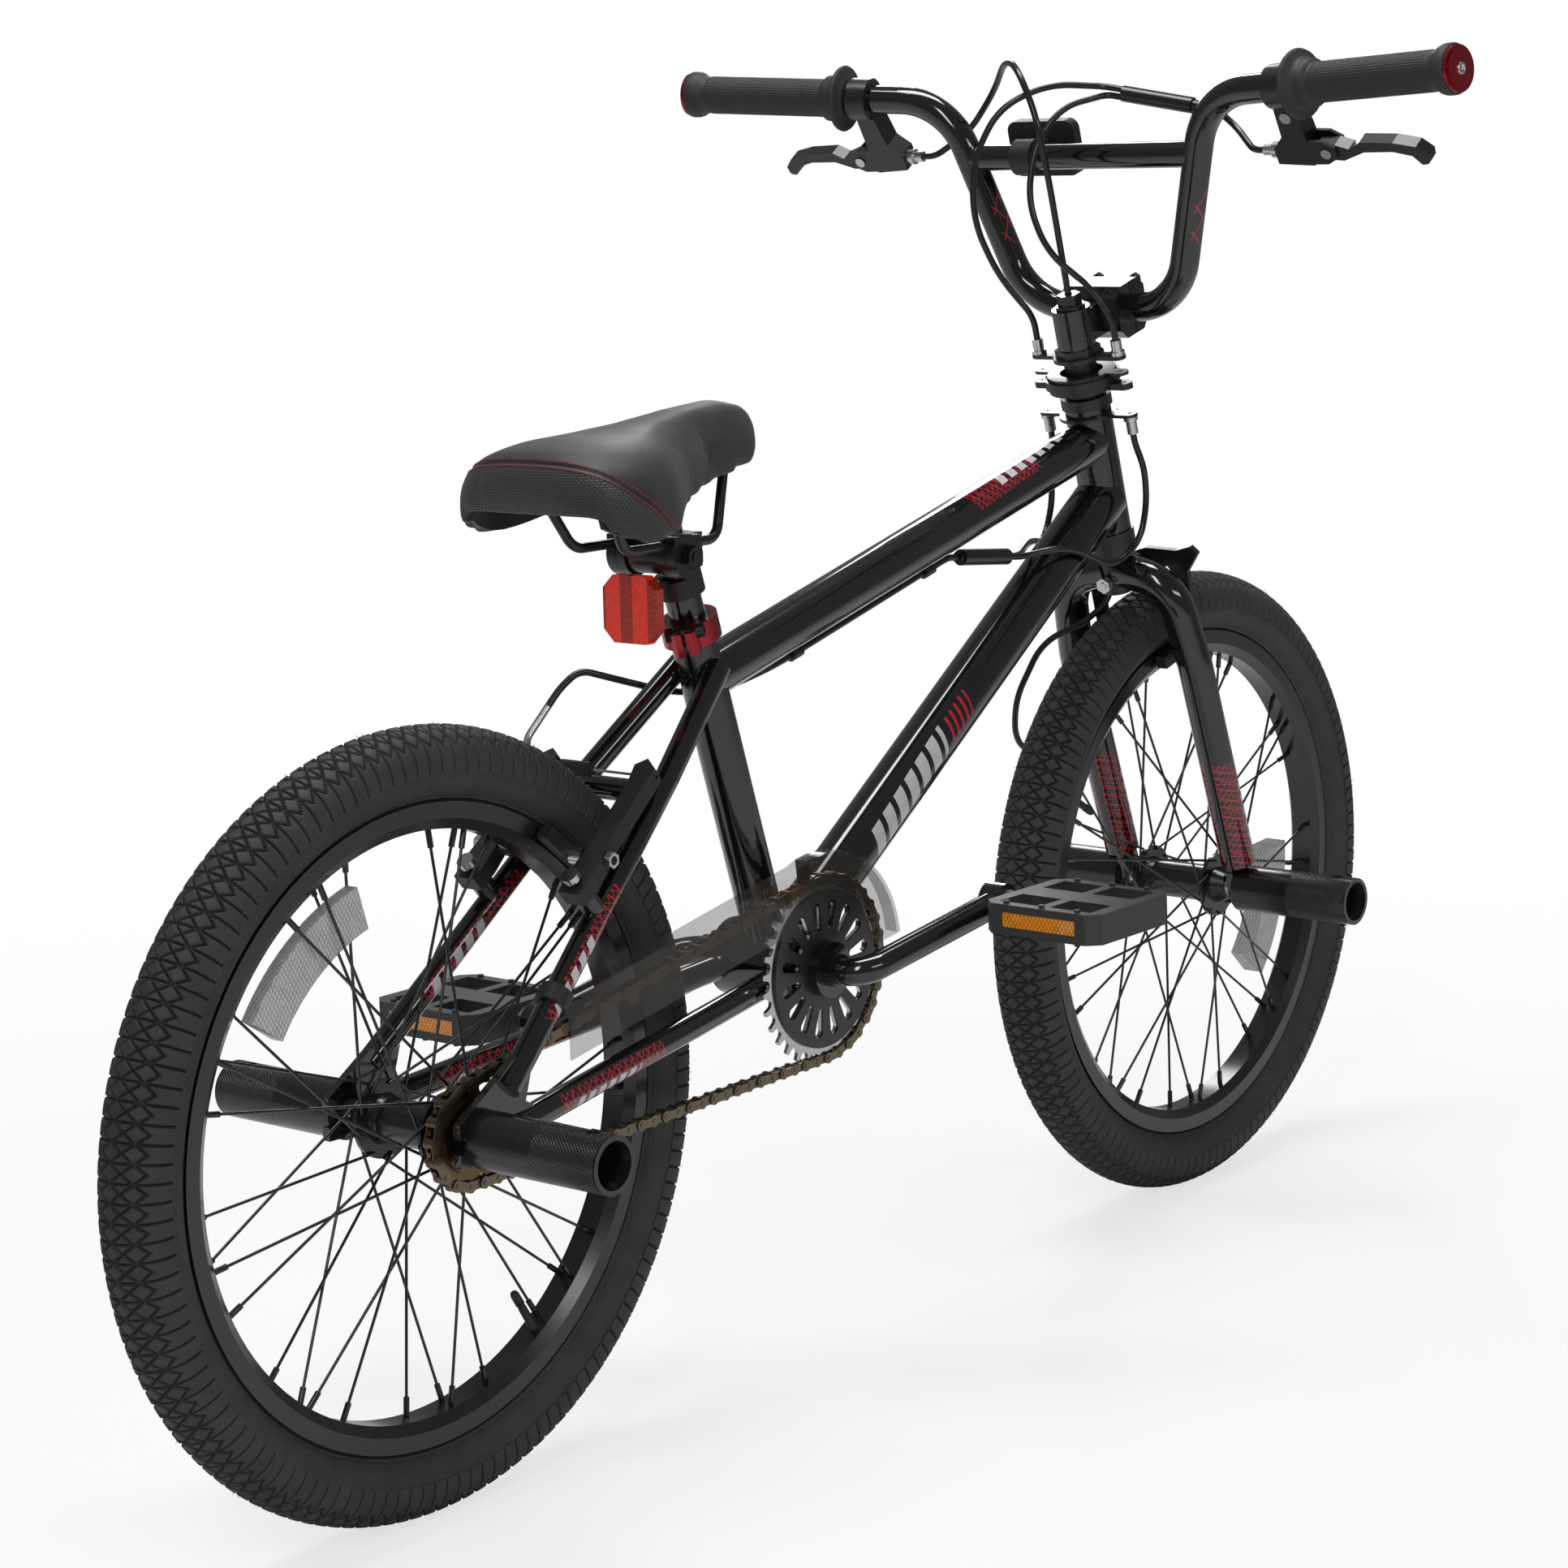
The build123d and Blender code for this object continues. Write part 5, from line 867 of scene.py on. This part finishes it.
def makeSaddle():
    # a skin arched over each station and folded back under itself, closed at both ends
    first, last = saddle["ahead"][0], saddle["ahead"][-1]
    rows, around = 90, 40
    share = (1 - np.cos(np.linspace(0, math.pi, rows))) / 2
    place = first + 0.3 + (last - first - 0.6) * share
    half, top, bottom = saddleForm(place)
    arch = np.linspace(0, math.pi, around)
    wide = np.sign(np.cos(arch)) * np.abs(np.cos(arch)) ** saddle["sideCurve"]
    tall = np.abs(np.sin(arch)) ** saddle["topCurve"]
    inner = np.clip(half - saddle["wall"], half * 0.25, None)
    inset = np.minimum(place - first, last - place) - saddle["endWall"]
    hollow = np.clip(inset / 14, 0, 1) ** 0.5
    roof = np.clip(top - bottom - saddle["crownWall"], (top - bottom) * 0.2, None) * hollow
    outerY, outerZ = half[:, None] * wide, bottom[:, None] + (top - bottom)[:, None] * tall
    innerY, innerZ = inner[:, None] * wide[::-1], bottom[:, None] + roof[:, None] * tall[::-1]
    side = np.hstack((outerY, innerY))
    high = np.hstack((outerZ, innerZ))
    x = rearCentre[0] / mm + np.repeat(place[:, None], 2 * around, 1)
    points = np.stack((x, side, high), -1).reshape(-1, 3) * mm
    faces = gridFaces(rows, 2 * around, wrapColumns=True)
    piece = makePiece("saddlePad", points, faces, "saddleSkin", "frame")
    held = bmesh.new()
    held.from_mesh(piece.data)
    bmesh.ops.holes_fill(held, edges=held.edges, sides=0)
    bmesh.ops.recalc_face_normals(held, faces=held.faces)
    held.to_mesh(piece.data)
    held.free()
    return piece


def applyAll(piece):
    # every modifier becomes the mesh itself
    graph = bpy.context.evaluated_depsgraph_get()
    mesh = bpy.data.meshes.new_from_object(piece.evaluated_get(graph))
    piece.modifiers.clear()
    old = piece.data
    piece.data = mesh
    bpy.data.meshes.remove(old)


def pointsOf(mesh):
    points = np.zeros(len(mesh.vertices) * 3, np.float32)
    mesh.vertices.foreach_get("co", points)
    return points.reshape(-1, 3)


def puff(piece):
    # a short cloth run under pressure, with each point held near where it began
    scene = bpy.context.scene
    before = pointsOf(piece.data)
    cloth = piece.modifiers.new("puff", "CLOTH")
    cloth.settings.quality = 4
    cloth.settings.use_pressure = True
    cloth.settings.uniform_pressure_force = saddle["pressure"]
    cloth.settings.effector_weights.gravity = 0.0
    cloth.point_cache.frame_end = saddle["frames"]
    for step in range(1, saddle["frames"] + 1):
        scene.frame_set(step)
    applyAll(piece)
    scene.frame_set(1)
    shift = pointsOf(piece.data) - before
    size = np.linalg.norm(shift, axis=1, keepdims=True)
    cap = saddle["cap"] * mm
    shift *= np.minimum(1, cap / np.maximum(size, 1e-9))
    piece.data.vertices.foreach_set("co", (before + shift).ravel())


pad = makeSaddle()
remesh = pad.modifiers.new("even", "REMESH")
remesh.mode = "VOXEL"
remesh.voxel_size = saddle["voxel"] * mm
smooth = pad.modifiers.new("soften", "SMOOTH")
smooth.factor, smooth.iterations = 0.5, 12
applyAll(pad)
puff(pad)
rounding = pad.modifiers.new("round", "SUBSURF")
rounding.levels = rounding.render_levels = 2
applyAll(pad)
padMesh = pad.data
padMesh.polygons.foreach_set("use_smooth", np.full(len(padMesh.polygons), True))
padPoints = pointsOf(padMesh).astype(float)
padNormals = np.zeros(len(padMesh.vertices) * 3, np.float32)
padMesh.vertices.foreach_get("normal", padNormals)
padNormals = padNormals.reshape(-1, 3)
local = padPoints / mm - (rearCentre[0] / mm, 0, 0)
seam = seamPlace(local[:, 0], local[:, 2])
formHalf, formTop, formBottom = saddleForm(local[:, 0])
outer = ((np.abs(local[:, 1]) / np.maximum(formHalf, 1)) ** 2.67
         + (np.clip(local[:, 2] - formBottom, 0, None) / np.maximum(formTop - formBottom, 1)) ** 3.2)
outer = outer > saddle["outerShare"]  # the skin, without the hollow underneath
# the seam pulls the skin in
tuck = saddle["tuckDepth"] * mm * np.exp(-(seam / saddle["tuckWidth"]) ** 2) * outer
padPoints -= padNormals * tuck[:, None]
padMesh.vertices.foreach_set("co", padPoints.astype(np.float32).ravel())
padMesh.attributes.new("seam", "FLOAT", "POINT").data.foreach_set("value", seam.astype(np.float32))
corners = np.zeros(len(padMesh.loops), np.int32)
padMesh.loops.foreach_get("vertex_index", corners)
wrapAngle = np.arctan2(local[:, 1], saddle["wrapCentre"] - local[:, 0])
wrap = np.stack((wrapAngle * saddle["wrapRadius"], local[:, 2]), -1)[corners]
for layer in list(padMesh.uv_layers):
    padMesh.uv_layers.remove(layer)
padMesh.uv_layers.new(name="wrap").data.foreach_set("uv", wrap.astype(np.float32).ravel())
padMesh.update()
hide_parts("saddle_pad")


def seamLine(offset):
    # where the skin crosses a fixed distance from the seam, in order over the saddle, evenly spaced
    edges = np.zeros(len(padMesh.edges) * 2, np.int32)
    padMesh.edges.foreach_get("vertices", edges)
    first, second = edges.reshape(-1, 2).T
    a, b = seam[first] - offset, seam[second] - offset
    cross = (a * b < 0) & outer[first] & outer[second]
    first, second, a, b = first[cross], second[cross], a[cross], b[cross]
    share = (a / (a - b))[:, None]
    found = padPoints[first] * (1 - share) + padPoints[second] * share
    facing = padNormals[first]
    order = np.argsort(np.arctan2(found[:, 1], found[:, 2] - 0.625))
    found, facing = found[order], facing[order]
    kernel = np.ones(9) / 9

    def softened(rows):  # a running mean of nine, column by column
        wide = [np.pad(column, 4, mode="edge") for column in rows.T]
        return np.stack([np.convolve(column, kernel, "valid") for column in wide], -1)

    soft, facing = softened(found), softened(facing)
    length = np.append(0, np.cumsum(np.linalg.norm(np.diff(soft, axis=0), axis=1)))
    places = np.arange(2 * mm, length[-1] - 2 * mm, saddle["stitchPitch"] * mm)
    line = np.stack([np.interp(places, length, soft[:, i]) for i in range(3)], -1)
    away = np.stack([np.interp(places, length, facing[:, i]) for i in range(3)], -1)
    return line, away / np.linalg.norm(away, axis=1, keepdims=True)


def makeStitches(name, offset):
    # short six-sided capsules laid end to end along the line, sunk a little into the skin
    line, away = seamLine(offset)
    along = np.gradient(line, axis=0)
    along /= np.linalg.norm(along, axis=1, keepdims=True)
    across = np.cross(along, away)
    profile = np.array([(-0.5, 0.25), (-0.4, 0.85), (0, 1.15), (0.4, 0.85), (0.5, 0.25)])
    angle = np.arange(6) * turn / 6
    ringWay = np.cos(angle)[None, :, None] * away[:, None] + np.sin(angle)[None, :, None] * across[:, None]
    radius = profile[:, 1] * saddle["stitchRadius"] * mm
    reach = profile[:, 0] * saddle["stitchLength"] * mm
    middle = line + away * saddle["stitchRadius"] * mm * 0.5
    points = (middle[:, None, None] + along[:, None, None] * reach[None, :, None, None]
              + ringWay[:, None] * radius[None, :, None, None])
    each = gridFaces(len(profile), 6, wrapColumns=True)
    faces = (each[None] + (np.arange(len(line)) * len(profile) * 6)[:, None, None]).reshape(-1, 4)
    piece = makePiece(name, points.reshape(-1, 3), faces, "stitchThread", "frame")
    return piece


for stitchName, stitchSide in (("frontStitches", 1), ("rearStitches", -1)):
    makeStitches(stitchName, stitchSide * saddle["stitchGap"])
print("saddle made:", len(padMesh.polygons), "faces")

view = {"place": (-2.05343, -1.58304, 0.86926), "yaw": 38.641, "pitch": 10.066, "roll": -1.3325,
        "lens": 83.16, "sensor": 36.0}


def setCamera():
    yaw, pitch, roll = (math.radians(view[k]) for k in ("yaw", "pitch", "roll"))
    ahead = Vector((math.cos(yaw) * math.cos(pitch), math.sin(yaw) * math.cos(pitch), -math.sin(pitch)))
    right = Vector((math.sin(yaw), -math.cos(yaw), 0))
    top = right.cross(ahead)
    tiltedRight = right * math.cos(roll) + top * math.sin(roll)
    tiltedTop = top * math.cos(roll) - right * math.sin(roll)
    camera = bpy.data.objects.new("camera", bpy.data.cameras.new("camera"))
    bpy.context.scene.collection.objects.link(camera)
    facing = Matrix((tiltedRight, tiltedTop, -ahead)).transposed().to_4x4()
    camera.matrix_world = Matrix.Translation(view["place"]) @ facing
    camera.data.lens = view["lens"]
    camera.data.sensor_width = view["sensor"]
    camera.data.clip_end = 50.0
    bpy.context.scene.camera = camera


studio = {"floor": 8.0, "ambient": 0.15, "seen": 1.0, "floorColor": 0.82, "fadeStart": 0.9, "fadeEnd": 1.9,
          "shadowFill": 0.6, "fillGlow": 1.18,
          "lights": [("keySoft", (-2.6, -1.2, 2.3), (0.5, 1.6), 22),
                     ("fillSoft", (-0.4, -2.9, 1.7), (1.6, 0.35), 10),
                     ("topSoft", (0.2, 0.3, 3.0), (2.2, 0.7), 44),
                     ("rimSoft", (2.4, 1.8, 2.0), (0.4, 1.8), 18)]}


def setStudio():
    scene = bpy.context.scene
    scene.view_settings.view_transform = "Standard"
    world = bpy.data.worlds.new("studioWorld")
    world.use_nodes = True
    tree = world.node_tree
    background = tree.nodes["Background"]
    seen = addNode(tree, "ShaderNodeLightPath").outputs["Is Camera Ray"]
    spread = studio["seen"] - studio["ambient"]
    feed(tree, background.inputs["Strength"], mathOf(tree, "ADD", times(tree, seen, spread),
                                                     studio["ambient"]))
    background.inputs["Color"].default_value = (1, 1, 1, 1)
    scene.world = world
    half = studio["floor"]
    mesh = bpy.data.meshes.new("floor")
    square = [(-half, -half, 0), (half, -half, 0), (half, half, 0), (-half, half, 0)]
    mesh.from_pydata(square, [], [(0, 1, 2, 3)])
    floor = bpy.data.objects.new("floor", mesh)
    scene.collection.objects.link(floor)
    tree, shader, place = newMaterial("floorPale")
    plainly(shader, {"Base Color": (*[studio["floorColor"]] * 3, 1), "Roughness": 0.9,
                     "Specular IOR Level": 0.0})
    # far from the bike the floor glows as white as the background, so no edge shows
    far = vectorOf(tree, "LENGTH", place)
    fade = mathOf(tree, "DIVIDE", mathOf(tree, "SUBTRACT", far, studio["fadeStart"]),
                  studio["fadeEnd"] - studio["fadeStart"], clamp=True)
    glow = addNode(tree, "ShaderNodeEmission")
    mixed = addNode(tree, "ShaderNodeMixShader")
    seen = addNode(tree, "ShaderNodeLightPath").outputs["Is Camera Ray"]
    grown = times(tree, fade, 1 - studio["shadowFill"])
    share = mathOf(tree, "ADD", grown, studio["shadowFill"])
    feed(tree, mixed.inputs[0], times(tree, share, seen))
    feed(tree, glow.inputs["Strength"], mathOf(tree, "SUBTRACT", studio["fillGlow"], times(
        tree, fade, studio["fillGlow"] - 1)))
    tree.links.new(shader.outputs[0], mixed.inputs[1])
    tree.links.new(glow.outputs[0], mixed.inputs[2])
    tree.links.new(mixed.outputs[0], tree.nodes["Material Output"].inputs[0])
    mesh.materials.append(finishes["floorPale"])
    for name, place, size, power in studio["lights"]:
        data = bpy.data.lights.new(name, "AREA")
        data.shape = "RECTANGLE"
        data.energy, data.size, data.size_y = power, size[0], size[1]
        lamp = bpy.data.objects.new(name, data)
        lamp.location = place
        lamp.rotation_euler = (Vector((0, 0, 0.4)) - Vector(place)).to_track_quat("-Z", "Y").to_euler()
        scene.collection.objects.link(lamp)


setCamera()
setStudio()
print("camera and studio set")

bpy.context.view_layer.update()
